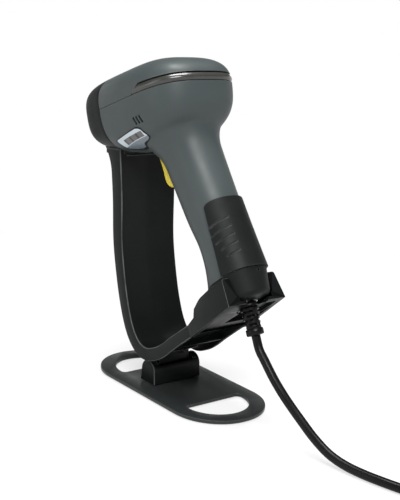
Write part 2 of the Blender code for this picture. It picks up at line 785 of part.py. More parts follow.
def arm_point(share):
    """A point of the inner line, and the direction away from the handle there."""
    last = len(arm_line) - 1
    place = share * last
    i = min(int(place), last - 1)
    along = arm_line[i + 1] - arm_line[i]
    before = arm_line[i + 1] - arm_line[max(i - 1, 0)]
    after = arm_line[min(i + 2, last)] - arm_line[i]
    tangent = before.normalized().lerp(after.normalized(), place - i).normalized()
    return arm_line[i] + along * (place - i), Vector((0.0, tangent.z, -tangent.y))


def channel_depth(share):
    """How deep the channel's sides are along the arm, with a lip under the head."""
    lip = ARM_LIP * max(0.0, 1 - share / ARM_LIP_SHARE) ** 2
    return ARM_DEPTH_TOP + (ARM_DEPTH_REAR - ARM_DEPTH_TOP) * share + lip


def arm_spread(share):
    """How much the arm widens toward its top, as a share of its width."""
    return 1 + ARM_SPREAD / ARM_HALF_WIDTH * max(0.0, 1 - share / ARM_SPREAD_SHARE) ** 2


def arm_ring(x, low, high, near, far):
    """A side outline between two shares of the arm, and two depths from its inner face."""
    inner, outer = [], []
    count = max(4, round(ARM_STATIONS * (high - low)))
    for i in range(count + 1):
        share = low + (high - low) * i / count
        fade = min(1.0, (1 - share) / ARM_CREASE_FADE)
        crease = ARM_CREASE * fade * (1 - abs(x) / ARM_HALF_WIDTH)
        place, away = arm_point(share)
        place.x = x * arm_spread(share)
        inner.append(place + away * (near + crease))
        outer.append(place + away * (crease + far if far else channel_depth(share) + 4 * near))
    ring = inner + outer[::-1]
    return [(point.x, point.y - HINGE_Y, point.z - HINGE_Z) for point in ring]


def arm_band(name, half_width, low, high, near, far, finish=None):
    """A solid that follows the arm, as deep as the channel where far is None."""
    rings = [arm_ring(x, low, high, near, far) for x in (-half_width, 0.0, half_width)]
    return loft(name, rings, arm_axis, finish)


arm = arm_band("stand_arm", ARM_HALF_WIDTH, 0.0, 1.0, 0.0, None, "black_plastic")
bay_starts = [ARM_TOP_WALL / arm_reach] + [rib + ARM_RIB / arm_reach for rib in ARM_RIBS]
bay_ends = ARM_RIBS + [1 - ARM_RIB / arm_reach]
for i, (low, high) in enumerate(zip(bay_starts, bay_ends)):
    cut(arm, arm_band("arm_bay_%d" % i, ARM_HALF_WIDTH - ARM_FLANGE, low, high, ARM_WEB, None))

cup_low = CUP_LEDGE - ARM_DEPTH_REAR - CUP_STEP
cup_ledge = CUP_LEDGE - CUP_STEP
cup_inner = CUP_HALF_WIDTH - ARM_FLANGE
cup_side = [(CUP_REAR - CUP_CHAMFER_RUN, cup_low), (CUP_REAR, cup_low + CUP_CHAMFER_RISE)]
cup_side += [(CUP_REAR, CUP_TOP), (-CUP_SHOULDER, CUP_TOP)]
cheek_line = (CUP_CHEEK_HIGH, CUP_CHEEK_LOW, CUP_CHEEK_FOOT)
cup_side += [(back - CUP_FRONT, CUP_TOP - drop) for back, drop in cheek_line]
cup_side += [(-CUP_FRONT, cup_ledge), (-CUP_FRONT, cup_low)]
cup = prism("cup_block", cup_side, -CUP_HALF_WIDTH, CUP_HALF_WIDTH, cup_axis)
seat_low = FOOT_END - SEAT_PLAY
front_wall = -handle_front(FOOT_SEAM) - SEAT_PLAY - CUP_WALL
far_out = CUP_FRONT + CUP_REAR
cut(cup, box("cup_front_pocket", (-cup_inner, -far_out, cup_ledge),
             (cup_inner, front_wall, CUP_TOP + far_out), cup_axis))
cut(cup, box("cup_under", (-cup_inner, -far_out, cup_low - far_out),
             (cup_inner, CUP_REAR - CUP_WALL, seat_low - CUP_FLOOR), cup_axis))
join(arm, cup)
cut(arm, foot_form("cup_seat", seat_low, FOOT_SEAM, -SEAT_PLAY, cup_axis))
cut(arm, rod("cup_notch", CUP_NOTCH_HALF, (0.0, 0.0, cup_low - CUP_REAR), (0.0, 0.0, FOOT_SEAM),
             cup_axis, sides=32))
cut(arm, box("cup_notch_way", (-CUP_NOTCH_HALF, 0.0, cup_low - CUP_REAR),
             (CUP_NOTCH_HALF, far_out, FOOT_SEAM), cup_axis))
cut(arm, head_form("arm_head_room", -ARM_HEAD_GAP, head_axis))

# Hinge knuckle: a barrel on the pin, and a leaf screwed under the arm's bend

knuckle_half = ear_inner - WASHER_THICK - 2 * FIT
lowest = min(range(len(arm_line)), key=lambda i: arm_line[i].z)
bend_share = lowest / (len(arm_line) - 1)
bend_place, bend_away = arm_point(bend_share)
leaf_share = LEAF_LENGTH / 2 / arm_reach
leaf_near = ARM_WEB + FIT
leaf_far = leaf_near + LEAF_THICK
knuckle = arm_band("hinge_knuckle", knuckle_half, bend_share - leaf_share, bend_share + leaf_share,
                   leaf_near, leaf_far, "black_plastic")
neck_top = bend_place.z - HINGE_Z - leaf_near - ARM_CREASE - LEAF_THICK / 8
neck_half = knuckle_half - FIT
join(knuckle, box("knuckle_neck", (-neck_half, -NECK_HALF_DEEP, 0.0), (neck_half, NECK_HALF_DEEP, neck_top),
                  arm_axis))
join(knuckle, rod("knuckle_barrel", KNUCKLE_RADIUS, (-knuckle_half, 0.0, 0.0), (knuckle_half, 0.0, 0.0),
                  arm_axis, sides=28))
cut(knuckle, rod("knuckle_bore", PIN_RADIUS + FIT, (-hinge_half, 0.0, 0.0), (hinge_half, 0.0, 0.0),
                 arm_axis))

under_head = -(leaf_far + ARM_CREASE + FIT)
for side, title in ((-1, "front"), (1, "rear")):
    place, away = arm_point(bend_share + side * LEAF_SCREW_REACH / arm_reach)
    leaf_axis = axis("leaf_axis_" + title, arm_axis, (0.0, place.y - HINGE_Y, place.z - HINGE_Z),
                     math.atan2(away.y, -away.z))
    tip = under_head + LEAF_SCREW_LENGTH
    foot = under_head - LEAF_SCREW_HEAD_HEIGHT
    turned("leaf_screw_" + title,
           [(0.0, tip), (LEAF_SCREW_RADIUS, tip), (LEAF_SCREW_RADIUS, under_head),
            (LEAF_SCREW_HEAD, under_head), (LEAF_SCREW_HEAD, foot), (0.0, foot)],
           leaf_axis, "bright_steel", 14)
    hole = rod("leaf_hole_" + title, LEAF_SCREW_RADIUS + FIT, (0.0, 0.0, foot), (0.0, 0.0, tip + FIT),
               leaf_axis)
    cut(knuckle, hole)
    cut(arm, hole)

# Scanner shell: lower housing with the handle, top cover, bezel, foot and trim

half_fit = FIT / 2
far_away = HEAD_FRONT + HEAD_BACK
head_inside = head_form("head_inside", WALL, head_axis)
over_seam = box("over_seam", (-far_away, -2 * far_away, -half_fit),
                (far_away, far_away, far_away), head_axis)
under_seam = box("under_seam", (-far_away, -2 * far_away, -far_away),
                 (far_away, far_away, half_fit), head_axis)
nose_side = box("nose_side", (-far_away, -2 * far_away, -far_away),
                (far_away, BEZEL_SPLIT + half_fit, far_away), head_axis)
nose_only = box("nose_only", (-far_away, -2 * far_away, -far_away),
                (far_away, BEZEL_SPLIT - half_fit, far_away), head_axis)

housing = head_form("main_housing", 0.0, head_axis, "slate_plastic")
join(housing, handle_form("handle_outside", FOOT_SEAM + half_fit, HANDLE_TOP, 0.0, scanner_axis))
cut(housing, over_seam, nose_side, head_inside)
cut(housing, handle_form("handle_inside", FOOT_SEAM - LIP_HIGH, HANDLE_TOP + WALL, WALL, scanner_axis))

strip_run = STRIP_SLANT / STRIP_HEIGHT
strip_side = [(STRIP_TIP - strip_run * WALL, -WALL), (STRIP_TIP + STRIP_SLANT, STRIP_HEIGHT)]
strip_side += [(far_away, STRIP_HEIGHT), (far_away, -WALL)]
strip_room = prism("strip_room", strip_side, -far_away, far_away, head_axis)
cover = head_form("top_cover", 0.0, head_axis, "slate_plastic")
cut(cover, under_seam, nose_side, head_inside, strip_room)

strip_top = STRIP_HEIGHT - FIT
strip_start = STRIP_TIP + 2 * FIT
strip = prism("status_strip", [(strip_start + strip_run * half_fit, half_fit),
                               (strip_start + strip_run * strip_top, strip_top),
                               (far_away, strip_top), (far_away, half_fit)],
              -far_away, far_away, head_axis, "smoke_lens")
keep(strip, head_form("strip_outside", STRIP_SINK, head_axis))
cut(strip, head_form("strip_inside", STRIP_SINK + STRIP_THICK, head_axis))

bezel = head_form("nose_bezel", 0.0, head_axis, "black_plastic")
keep(bezel, nose_only)


def window_ring(y, grow):
    """A rectangle across the nose, grown from the window's size."""
    half = WINDOW_HALF_WIDTH + grow
    low, high = WINDOW_LOW - grow, WINDOW_HIGH + grow
    return [(-half, y, low), (half, y, low), (half, y, high), (-half, y, high)]


nose_front = HEAD_MID - HEAD_FRONT
pocket_front = WINDOW_FACE - FIT
cut(bezel, loft("window_pocket", [window_ring(pocket_front, FIT), window_ring(BEZEL_SPLIT + WALL, FIT)],
                head_axis))
cut(bezel, loft("window_opening", [window_ring(nose_front - WALL, WINDOW_FLARE - WINDOW_LIP),
                                   window_ring(WINDOW_FACE + FIT, -WINDOW_LIP)], head_axis))
loft("scan_window", [window_ring(WINDOW_FACE, 0.0), window_ring(WINDOW_FACE + WINDOW_THICK, 0.0)],
     head_axis, "red_window")

foot_cap = foot_form("foot_cap", FOOT_END, FOOT_SEAM - half_fit, 0.0, scanner_axis, "black_plastic")
join(foot_cap, handle_form("foot_lip", FOOT_SEAM - WALL, FOOT_SEAM + LIP_HIGH, WALL + FIT, scanner_axis))
lip_inset = WALL + FIT + LIP_THICK
cut(foot_cap, foot_form("foot_inside", FOOT_END + WALL, FOOT_SEAM, lip_inset, scanner_axis))
cut(foot_cap, handle_form("lip_inside", FOOT_SEAM - FIT, FOOT_SEAM + 2 * LIP_HIGH, lip_inset, scanner_axis))
plug_hole = PLUG_HALF_WIDTH + PLUG_PLAY
cut(foot_cap, box("foot_opening", (-plug_hole, -PLUG_HALF_DEEP - PLUG_PLAY, FOOT_END - WALL),
                  (plug_hole, PLUG_HALF_DEEP + PLUG_PLAY, FOOT_END + 2 * WALL), scanner_axis))
pinhole_z = FOOT_SEAM - PINHOLE_DROP
cut(foot_cap, rod("release_pinhole", PINHOLE_RADIUS, (PINHOLE_X, HANDLE_BACK / 2, pinhole_z),
                  (PINHOLE_X, 2 * HANDLE_BACK, pinhole_z), scanner_axis, sides=12))


def grown(outline, amount):
    """An outline moved outward by about an amount."""
    middle = sum((Vector(point) for point in outline), Vector((0.0, 0.0))) / len(outline)
    return [tuple(Vector(point) + (Vector(point) - middle).normalized() * amount) for point in outline]


side_far = 2 * HEAD_HALF_WIDTH
label_room = prism("label_room", grown(LABEL_OUTLINE, FIT), LABEL_X, side_far, head_axis)
cut(label_room, head_form("label_floor", LABEL_THICK + 2 * FIT, head_axis))
cut(housing, label_room)
label = prism("side_label", LABEL_OUTLINE, LABEL_X, side_far, head_axis, "silver_label")
keep(label, head_form("label_outside", FIT, head_axis))
cut(label, head_form("label_inside", LABEL_THICK + FIT, head_axis))

for i in range(SOUND_SLOTS):
    start = SOUND_Y + (i - (SOUND_SLOTS - 1) / 2) * SOUND_PITCH
    outline = [(start, SOUND_Z), (start + SOUND_WIDTH, SOUND_Z),
               (start + SOUND_WIDTH + SOUND_SLANT, SOUND_Z - SOUND_LENGTH),
               (start + SOUND_SLANT, SOUND_Z - SOUND_LENGTH)]
    cut(housing, prism("sound_slot_%d" % i, outline, LABEL_X, side_far, head_axis))


def grip_side(grow):
    """The grip's side outline, open toward the back."""
    back = 2 * HANDLE_BACK
    corner = GRIP_HIGH - GRIP_CORNER_DROP
    return [(GRIP_EDGE_LOW - grow, GRIP_LOW - grow), (GRIP_EDGE_HIGH - grow, corner),
            (GRIP_EDGE_HIGH + GRIP_CORNER_DROP, GRIP_HIGH + grow), (back, GRIP_HIGH + grow),
            (back, GRIP_LOW - grow)]


grip_low, grip_high = GRIP_LOW - WALL, GRIP_HIGH + WALL
grip_room = prism("grip_room", grip_side(FIT), -side_far, side_far, scanner_axis)
cut(grip_room, handle_form("grip_floor", grip_low, grip_high, GRIP_DEEP, scanner_axis))
cut(housing, grip_room)
grip = prism("back_grip", grip_side(0.0), -side_far, side_far, scanner_axis, "dark_rubber")
keep(grip, handle_form("grip_outside", grip_low, grip_high, -GRIP_PROUD, scanner_axis))
cut(grip, handle_form("grip_inside", grip_low, grip_high, GRIP_DEEP - FIT, scanner_axis))
rib_lift = math.tan(GRIP_RIB_TILT)
groove_floor = handle_form("groove_floor", grip_low, grip_high, GRIP_RIB_DEEP - GRIP_PROUD, scanner_axis)
for i in range(GRIP_RIBS):
    middle = GRIP_RIB_TOP - i * GRIP_RIB_PITCH
    ends = (GRIP_RIB_START + i * GRIP_RIB_SHORTEN, HANDLE_BACK + WALL)
    outline = [(y, middle + (y - HANDLE_BACK) * rib_lift + GRIP_RIB_WIDTH / 2) for y in ends]
    outline += [(y, z - GRIP_RIB_WIDTH) for y, z in reversed(outline)]
    for side, title in ((-1, "left"), (1, "right")):
        near, far = sorted((side * GRIP_SPINE_HALF, side * side_far))
        groove = prism("grip_groove_%s_%d" % (title, i), outline, near, far, scanner_axis)
        cut(groove, groove_floor)
        cut(grip, groove)

# Trigger on its pin, and the switch that it presses

board_front = HANDLE_BOARD_FACE - BOARD_THICK
switch_back = board_front - FIT
switch_front = switch_back - SWITCH_DEEP
plunger_tip = switch_front - PLUNGER_OUT
slot_half = TRIGGER_HALF_WIDTH + TRIGGER_PLAY
trigger_low = min(z for _, z in TRIGGER_OUTLINE)
trigger_high = max(z for _, z in TRIGGER_OUTLINE)
trigger_back = max(y for y, _ in TRIGGER_OUTLINE)
cut(housing, box("trigger_opening", (-slot_half, -2 * HEAD_HALF_WIDTH, trigger_low - TRIGGER_PLAY - FIT),
                 (slot_half, trigger_back + FIT, trigger_high + 2 * TRIGGER_PLAY), scanner_axis))
lug_out = slot_half + LUG_THICK
lug_back = TRIGGER_PIVOT_Y + LUG_BACK
lug_side = [(LUG_FRONT_LOW, LUG_LOW), (lug_back, LUG_LOW), (lug_back, LUG_HIGH), (LUG_FRONT_HIGH, LUG_HIGH)]
for side, title in ((-1, "left"), (1, "right")):
    near, far = sorted((side * slot_half, side * lug_out))
    join(housing, prism("trigger_lug_" + title, lug_side, near, far, scanner_axis))
pin_hole = rod("trigger_pin_hole", TRIGGER_PIN_RADIUS + FIT, (-lug_out - WALL, 0.0, 0.0),
               (lug_out + WALL, 0.0, 0.0), trigger_axis)
cut(housing, pin_hole)
rod("trigger_pin", TRIGGER_PIN_RADIUS, (-lug_out, 0.0, 0.0), (lug_out, 0.0, 0.0), trigger_axis,
    "bright_steel")

trigger_side = [(y - TRIGGER_PIVOT_Y, z - TRIGGER_PIVOT_Z) for y, z in TRIGGER_OUTLINE]
trigger = prism("trigger", trigger_side, -TRIGGER_HALF_WIDTH, TRIGGER_HALF_WIDTH, trigger_axis,
                "yellow_plastic")
round_edges(trigger, TRIGGER_ROUND)
rib_tip = plunger_tip - FIT - TRIGGER_PIVOT_Y
rib_z = SWITCH_Z - TRIGGER_PIVOT_Z
join(trigger, box("trigger_rib", (-RIB_HALF_WIDTH, rib_tip - RIB_LENGTH, rib_z - RIB_HALF_HIGH),
                  (RIB_HALF_WIDTH, rib_tip, rib_z + RIB_HALF_HIGH), trigger_axis))
cut(trigger, pin_hole)

switch = box("trigger_switch", (-SWITCH_HALF, switch_front, SWITCH_Z - SWITCH_HALF),
             (SWITCH_HALF, switch_back, SWITCH_Z + SWITCH_HALF), scanner_axis, "black_plastic")
cut(switch, rod("switch_bore", PLUNGER_RADIUS + FIT, (0.0, switch_front - FIT, SWITCH_Z),
                (0.0, switch_back - FIT, SWITCH_Z), scanner_axis))
rod("switch_plunger", PLUNGER_RADIUS, (0.0, plunger_tip, SWITCH_Z),
    (0.0, plunger_tip + PLUNGER_LENGTH, SWITCH_Z), scanner_axis, "clear_plastic", sides=16)

# Boards inside, and what they carry

box("handle_board", (-HANDLE_BOARD_HALF, board_front, HANDLE_BOARD_LOW),
    (HANDLE_BOARD_HALF, HANDLE_BOARD_FACE, HANDLE_BOARD_HIGH), scanner_axis, "green_board")
rail_back = board_front - FIT
rail_in = HANDLE_BOARD_HALF - RAIL_THICK
for side, title in ((-1, "left"), (1, "right")):
    near, far = sorted((side * rail_in, side * RAIL_OUT))
    join(housing, box("board_rail_" + title, (near, rail_back - RAIL_THICK, RAIL_LOW),
                      (far, rail_back, RAIL_HIGH), scanner_axis))

main_low = MAIN_BOARD_TOP - BOARD_THICK
main_board = box("main_board", (-MAIN_BOARD_HALF, MAIN_BOARD_FRONT, main_low),
                 (MAIN_BOARD_HALF, MAIN_BOARD_BACK, MAIN_BOARD_TOP), head_axis, "green_board")
ledge_top = main_low - FIT
for side, title in ((-1, "left"), (1, "right")):
    near, far = sorted((side * LEDGE_IN, side * LEDGE_OUT))
    ledge_low = (near, MAIN_BOARD_FRONT + 2 * LEDGE_DEEP, ledge_top - LEDGE_DEEP)
    ledge_high = (far, MAIN_BOARD_BACK - LEDGE_DEEP, ledge_top)
    join(housing, box("board_ledge_" + title, ledge_low, ledge_high, head_axis))
    low = MAIN_BOARD_TOP + FIT
    high = low + BOARD_SCREW_RADIUS
    tip = low - BOARD_SCREW_LENGTH
    screw = turned("board_screw_" + title,
                   [(0.0, high), (BOARD_SCREW_HEAD, high), (BOARD_SCREW_HEAD, low),
                    (BOARD_SCREW_RADIUS, low), (BOARD_SCREW_RADIUS, tip), (0.0, tip)],
                   head_axis, "bright_steel", 12)
    screw.location = (side * BOARD_SCREW_X, BOARD_SCREW_Y, 0.0)
    hole_low = (side * BOARD_SCREW_X, BOARD_SCREW_Y, tip - FIT)
    hole_high = (side * BOARD_SCREW_X, BOARD_SCREW_Y, high)
    hole = rod("board_hole_" + title, BOARD_SCREW_RADIUS + FIT, hole_low, hole_high, head_axis, sides=12)
    cut(main_board, hole)
    cut(housing, hole)

engine = box("scan_engine", (-ENGINE_HALF, ENGINE_FRONT, MAIN_BOARD_TOP + FIT),
             (ENGINE_HALF, ENGINE_BACK, ENGINE_HIGH), head_axis, "black_plastic")
round_edges(engine, FIT, 1)
lens_z = (MAIN_BOARD_TOP + ENGINE_HIGH) / 2
lens_back = ENGINE_FRONT - FIT
rod("engine_lens", LENS_RADIUS, (0.0, lens_back, lens_z), (0.0, lens_back - LENS_LENGTH, lens_z),
    head_axis, "lens_glass")
buzzer_top = main_low - FIT
rod("buzzer", BUZZER_RADIUS, (BUZZER_X, BUZZER_Y, buzzer_top), (BUZZER_X, BUZZER_Y, buzzer_top - BUZZER_HIGH),
    head_axis, "black_plastic")

jack = box("lead_jack", (-JACK_HALF, HANDLE_BOARD_FACE + FIT, JACK_LOW), (JACK_HALF, JACK_BACK, JACK_HIGH),
           scanner_axis, "clear_plastic")
cut(jack, box("jack_room", (-PLUG_HALF_WIDTH - FIT, -PLUG_HALF_DEEP - FIT, JACK_LOW - WALL),
              (PLUG_HALF_WIDTH + FIT, PLUG_HALF_DEEP + FIT, JACK_HIGH - JACK_ROOF), scanner_axis))


def in_handle(y, z):
    """A point of the head's frame in the handle's frame."""
    return (HEAD_Y + y * math.cos(HEAD_PITCH) + z * math.sin(HEAD_PITCH),
            HEAD_Z - y * math.sin(HEAD_PITCH) + z * math.cos(HEAD_PITCH))


ribbon_y = HANDLE_BOARD_FACE + FIT + RIBBON_THICK / 2
ribbon_z = main_low - FIT - RIBBON_THICK / 2
ribbon_knots = [(0.0, ribbon_y, RIBBON_LOW), (0.0, ribbon_y + FIT, RIBBON_LOW + RIBBON_RISE),
                (0.0, ribbon_y + 4 * FIT, RIBBON_LOW + 2 * RIBBON_RISE)]
ribbon_knots += [(0.0, y, z) for y, z in RIBBON_BEND]
ribbon_knots.append((0.0, *in_handle(RIBBON_HEAD[0], ribbon_z - RIBBON_DROP)))
ribbon_knots += [(0.0, *in_handle(y, ribbon_z)) for y in RIBBON_HEAD[1:]]
ribbon_line = smooth_line(ribbon_knots, 5 * MM)
ribbon_sides = [[], []]
for i, point in enumerate(ribbon_line):
    along = ribbon_line[min(i + 1, len(ribbon_line) - 1)] - ribbon_line[max(i - 1, 0)]
    across = Vector((0.0, along.z, -along.y)).normalized() * RIBBON_THICK / 2
    ribbon_sides[0].append(((point + across).y, (point + across).z))
    ribbon_sides[1].insert(0, ((point - across).y, (point - across).z))
prism("board_ribbon", ribbon_sides[0] + ribbon_sides[1], -RIBBON_HALF, RIBBON_HALF, scanner_axis,
      "amber_film")

# Lead: plug in the foot, strain relief, free cable, coil, tie and far plug

boot_top = FOOT_END - boot_drop
plug_low = boot_top - PLUG_HALF_DEEP * math.sin(BOOT_TILT) + FIT
plug = box("lead_plug", (-PLUG_HALF_WIDTH, -PLUG_HALF_DEEP, plug_low),
           (PLUG_HALF_WIDTH, PLUG_HALF_DEEP, PLUG_TOP), scanner_axis, "clear_plastic")
round_edges(plug, FIT, 1)

boot_profile = [(0.0, 0.0)]
segment = (BOOT_LENGTH - BOOT_FLANGE_LENGTH) / BOOT_SEGMENTS
for i in range(BOOT_SEGMENTS):
    radius = BOOT_TOP_RADIUS + (BOOT_END_RADIUS - BOOT_TOP_RADIUS) * i / (BOOT_SEGMENTS - 1)
    top = -i * segment
    bottom = top - segment
    boot_profile += [(radius, top), (radius, bottom + BOOT_GROOVE)]
    boot_profile += [(radius - BOOT_GROOVE, bottom + BOOT_GROOVE), (radius - BOOT_GROOVE, bottom)]
boot_profile += [(BOOT_FLANGE_RADIUS, BOOT_FLANGE_LENGTH - BOOT_LENGTH), (BOOT_FLANGE_RADIUS, -BOOT_LENGTH)]
boot_profile.append((0.0, -BOOT_LENGTH))
turned("strain_relief", boot_profile, boot_axis, "black_plastic", 20)

cord_lean = HANDLE_LEAN + BOOT_TILT
cord_way = Vector((0.0, math.sin(cord_lean), -math.cos(cord_lean)))
cord_exit = Vector((0.0, *on_frame(0.0, boot_top))) + cord_way * (BOOT_LENGTH + FIT)
coil_outer = COIL_INNER + COIL_PITCH * COIL_TURNS_A_LAYER
straight = 2 * CABLE_RADIUS
coil_start = Vector((COIL_X - coil_outer, COIL_Y - straight, COIL_LIFT))
layer_rise = COIL_PITCH
cable_knots = [cord_exit, cord_exit + cord_way * straight] + [Vector(point) for point in CABLE_ROUTE]
cable_knots.append(coil_start - Vector((0.0, FIT + straight, 0.0)))
cable_knots.append(coil_start - Vector((0.0, FIT, 0.0)))
cable_line = smooth_line(cable_knots, CABLE_STEP)
wire("cable", cable_line, CABLE_RADIUS, 2, "dark_rubber")

coil_line = [coil_start]
coil_turns = 2 * COIL_TURNS_A_LAYER
coil_steps = round(coil_turns * COIL_LOOP_POINTS)
for i in range(coil_steps + 1):
    turn = coil_turns * i / coil_steps
    radius = COIL_INNER + COIL_PITCH * abs(turn - COIL_TURNS_A_LAYER)
    climb = min(1.0, max(0.0, 2 * (turn - COIL_TURNS_A_LAYER) + 0.5))
    height = COIL_LIFT + layer_rise * climb * climb * (3 - 2 * climb)
    angle = math.pi - 2 * math.pi * turn
    coil_line.append(Vector((COIL_X + radius * math.cos(angle), COIL_Y + radius * math.sin(angle), height)))
coil_line.append(coil_line[-1] - Vector((0.0, straight, 0.0)))
wire("cable_coil", coil_line, CABLE_RADIUS, 1, "dark_rubber")


def least_gap(line, radius, apart):
    """The smallest gap of a tube to itself, between points that lie well apart along it."""
    fine = []
    for before, after in zip(line, line[1:]):
        fine += [before.lerp(after, j / 4) for j in range(4)]
    closest = min((fine[i] - fine[j]).length for i in range(len(fine))
                  for j in range(i + 4 * apart, len(fine)))
    return closest - 2 * radius


print("coil gap %.2f mm" % (least_gap(coil_line, CABLE_RADIUS, round(COIL_LOOP_POINTS / 2)) / MM))

tail_start = coil_line[-1] - Vector((0.0, FIT, 0.0))
tail_knots = [tail_start, tail_start - Vector((0.0, straight, 0.0))]
tail_knots += [Vector(point) for point in TAIL_ROUTE]
tail_line = smooth_line(tail_knots, CABLE_STEP)
wire("cable_tail", tail_line, CABLE_RADIUS, 2, "dark_rubber")
cord_length = sum((after - before).length for line in (cable_line, coil_line, tail_line)
                  for before, after in zip(line, line[1:]))
print("cord length %.3f m" % cord_length)

usb_x, usb_y, usb_z = TAIL_ROUTE[-1]
usb_top = usb_y - FIT
usb_end = usb_top - USB_BODY_LENGTH
overmould = box("usb_overmould", (usb_x - USB_HALF_WIDTH, usb_end, usb_z - USB_HALF_HIGH),
                (usb_x + USB_HALF_WIDTH, usb_top, usb_z + USB_HALF_HIGH), None, "dark_rubber")
round_edges(overmould, USB_ROUND)
shell_top = usb_end - FIT
shell_low = (usb_x - USB_SHELL_HALF_WIDTH, shell_top - USB_SHELL_LENGTH, usb_z - USB_SHELL_HALF_HIGH)
shell_high = (usb_x + USB_SHELL_HALF_WIDTH, shell_top, usb_z + USB_SHELL_HALF_HIGH)
box("usb_shell", shell_low, shell_high, None, "bright_steel")


def bundle_outline(grow):
    """A rounded outline round the coil's bundle of turns, on its far side."""
    corner = TIE_CORNER
    low_y = COIL_Y + COIL_INNER - CABLE_RADIUS - grow
    high_y = COIL_Y + coil_outer + CABLE_RADIUS + grow
    low_z = COIL_LIFT - CABLE_RADIUS - grow
    high_z = COIL_LIFT + layer_rise + CABLE_RADIUS + grow
    points = arc((high_y - corner, low_z + corner), corner, 270, 360, 5)
    points += arc((high_y - corner, high_z - corner), corner, 0, 90, 5)
    points += arc((low_y + corner, high_z - corner), corner, 90, 180, 5)
    points += arc((low_y + corner, low_z + corner), corner, 180, 270, 5)
    return points


tie = prism("cable_tie", bundle_outline(TIE_CLEAR + TIE_THICK), COIL_X - TIE_HALF_WIDTH,
            COIL_X + TIE_HALF_WIDTH, None, "black_plastic")
cut(tie, prism("tie_room", bundle_outline(TIE_CLEAR), COIL_X - 2 * TIE_HALF_WIDTH,
               COIL_X + 2 * TIE_HALF_WIDTH, None))
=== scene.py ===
import json
import math

import bmesh
import bpy
from mathutils import Matrix, Vector
from mathutils.bvhtree import BVHTree


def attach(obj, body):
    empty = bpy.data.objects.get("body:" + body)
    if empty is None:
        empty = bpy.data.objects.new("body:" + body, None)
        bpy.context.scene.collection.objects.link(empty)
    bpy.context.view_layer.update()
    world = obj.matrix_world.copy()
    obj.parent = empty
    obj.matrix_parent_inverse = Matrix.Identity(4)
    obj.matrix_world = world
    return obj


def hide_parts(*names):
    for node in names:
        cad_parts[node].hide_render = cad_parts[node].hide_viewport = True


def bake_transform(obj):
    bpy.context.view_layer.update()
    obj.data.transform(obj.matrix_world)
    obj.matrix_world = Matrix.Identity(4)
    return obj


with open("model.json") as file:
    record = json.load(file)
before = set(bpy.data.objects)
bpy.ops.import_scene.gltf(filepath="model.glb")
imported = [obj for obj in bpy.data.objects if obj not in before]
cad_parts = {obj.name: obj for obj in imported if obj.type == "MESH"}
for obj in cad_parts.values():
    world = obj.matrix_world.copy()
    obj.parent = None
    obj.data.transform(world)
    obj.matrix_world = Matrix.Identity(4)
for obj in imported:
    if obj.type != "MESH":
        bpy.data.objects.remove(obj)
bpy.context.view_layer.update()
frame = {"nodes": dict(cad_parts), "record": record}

MM = 0.001

# Frames of the stand, the handle and the head, as the solids have them

HINGE_Y = -11.5 * MM
HINGE_Z = 12.6 * MM
HANDLE = Matrix.Translation((0, 81.5 * MM, 61.4 * MM)) @ Matrix.Rotation(math.radians(37), 4, "X")
HEAD = HANDLE @ Matrix.Translation((0, 28.3 * MM, 172.9 * MM)) @ Matrix.Rotation(math.radians(-16.3), 4, "X")
HINGE = Matrix.Translation((0, HINGE_Y, HINGE_Z))

# Camera as fitted to the photograph, with its place in millimetres and its focal length in pixels

CAMERA_TURN, CAMERA_RISE, CAMERA_ROLL = math.radians(140.91), math.radians(13.76), math.radians(3.37)
CAMERA_ACROSS, CAMERA_ABOVE, CAMERA_AWAY = 14.7, 98.7, 750.75
PICTURE_WIDTH, FOCAL_LENGTH = 400, 1040
SENSOR = 36

# Floor, in metres

FLOOR_RADIUS, FLOOR_RIM = 12, 2.6
SHADE_NEAR, SHADE_FAR = 0.15, 0.5

# How finely shapes are melted, merged and divided

MELT = 1.0 * MM
MERGE = 0.001 * MM
COARSE = 96, 64

# Sizes of the scanner's shell

WALL = 2.4 * MM
SEAM = 0.15 * MM
LIP = 0.35 * MM
HEAD_HALF = 36.1 * MM
HEAD_MID = -38 * MM
HEAD_BACK = 50.6 * MM
HEAD_FRONT = 52.7 * MM
CROWN_FRONT = 25.2 * MM
CROWN_REAR = 21.9 * MM
BELLY_ENDS = 26.7 * MM
BELLY_MIDDLE = 36.3 * MM
BEZEL_SPLIT = -66.8 * MM
NOSE_SQUARE = 10.6
BACK_SQUARE = 3.2
SIDE_ROUND_ABOVE, SIDE_ROUND_BELOW = 2.7, 3.0
BACK_ROUND_ABOVE, BACK_ROUND_BELOW = 2.8, 5.0
FRONT_ROUND = 4.4
BACK_DRAFT = 0.075
FOOT_END = 24.5 * MM
FOOT_SEAM = 43 * MM
FOOT_TAPER = 0.18
FOOT_PROUD = 0.35 * MM
PIN_X, PIN_Z, PIN_HOLE = -1.6 * MM, 40.3 * MM, 0.8 * MM
HANDLE_TOP = 158 * MM
HANDLE_ROUND = 0.92
HANDLE_HALF, HANDLE_BACK, HANDLE_FRONT = 18 * MM, 19.6 * MM, 19.5 * MM
HANDLE_SLIM, HANDLE_REACH = 75 * MM, 50 * MM
FLARE, FLARE_START = 11 * MM, 133 * MM
WAIST, WAIST_AT, WAIST_REACH = 3.9 * MM, 69 * MM, 15.5 * MM
KICK, KICK_START, KICK_REACH = 4.6 * MM, 60 * MM, 17 * MM
SHOULDER_LOW, SHOULDER_HIGH, SHOULDER_REACH = 110 * MM, 175 * MM, 9 * MM
GRIP_LOW, GRIP_TOP = 43.4 * MM, 89 * MM
GRIP_PROUD = 0.45 * MM
GROOVES = 5
GROOVE_DEPTH, GROOVE_HALF = 0.95 * MM, 0.6 * MM
GROOVE_SLOPE = math.tan(math.radians(19.3))
LABEL_MIDDLE = HEAD @ Vector((0, -42.5 * MM, -27.2 * MM))
LABEL_LEAN = math.radians(20.7 + 3.5)
STRIP_HEIGHT = 6.3 * MM
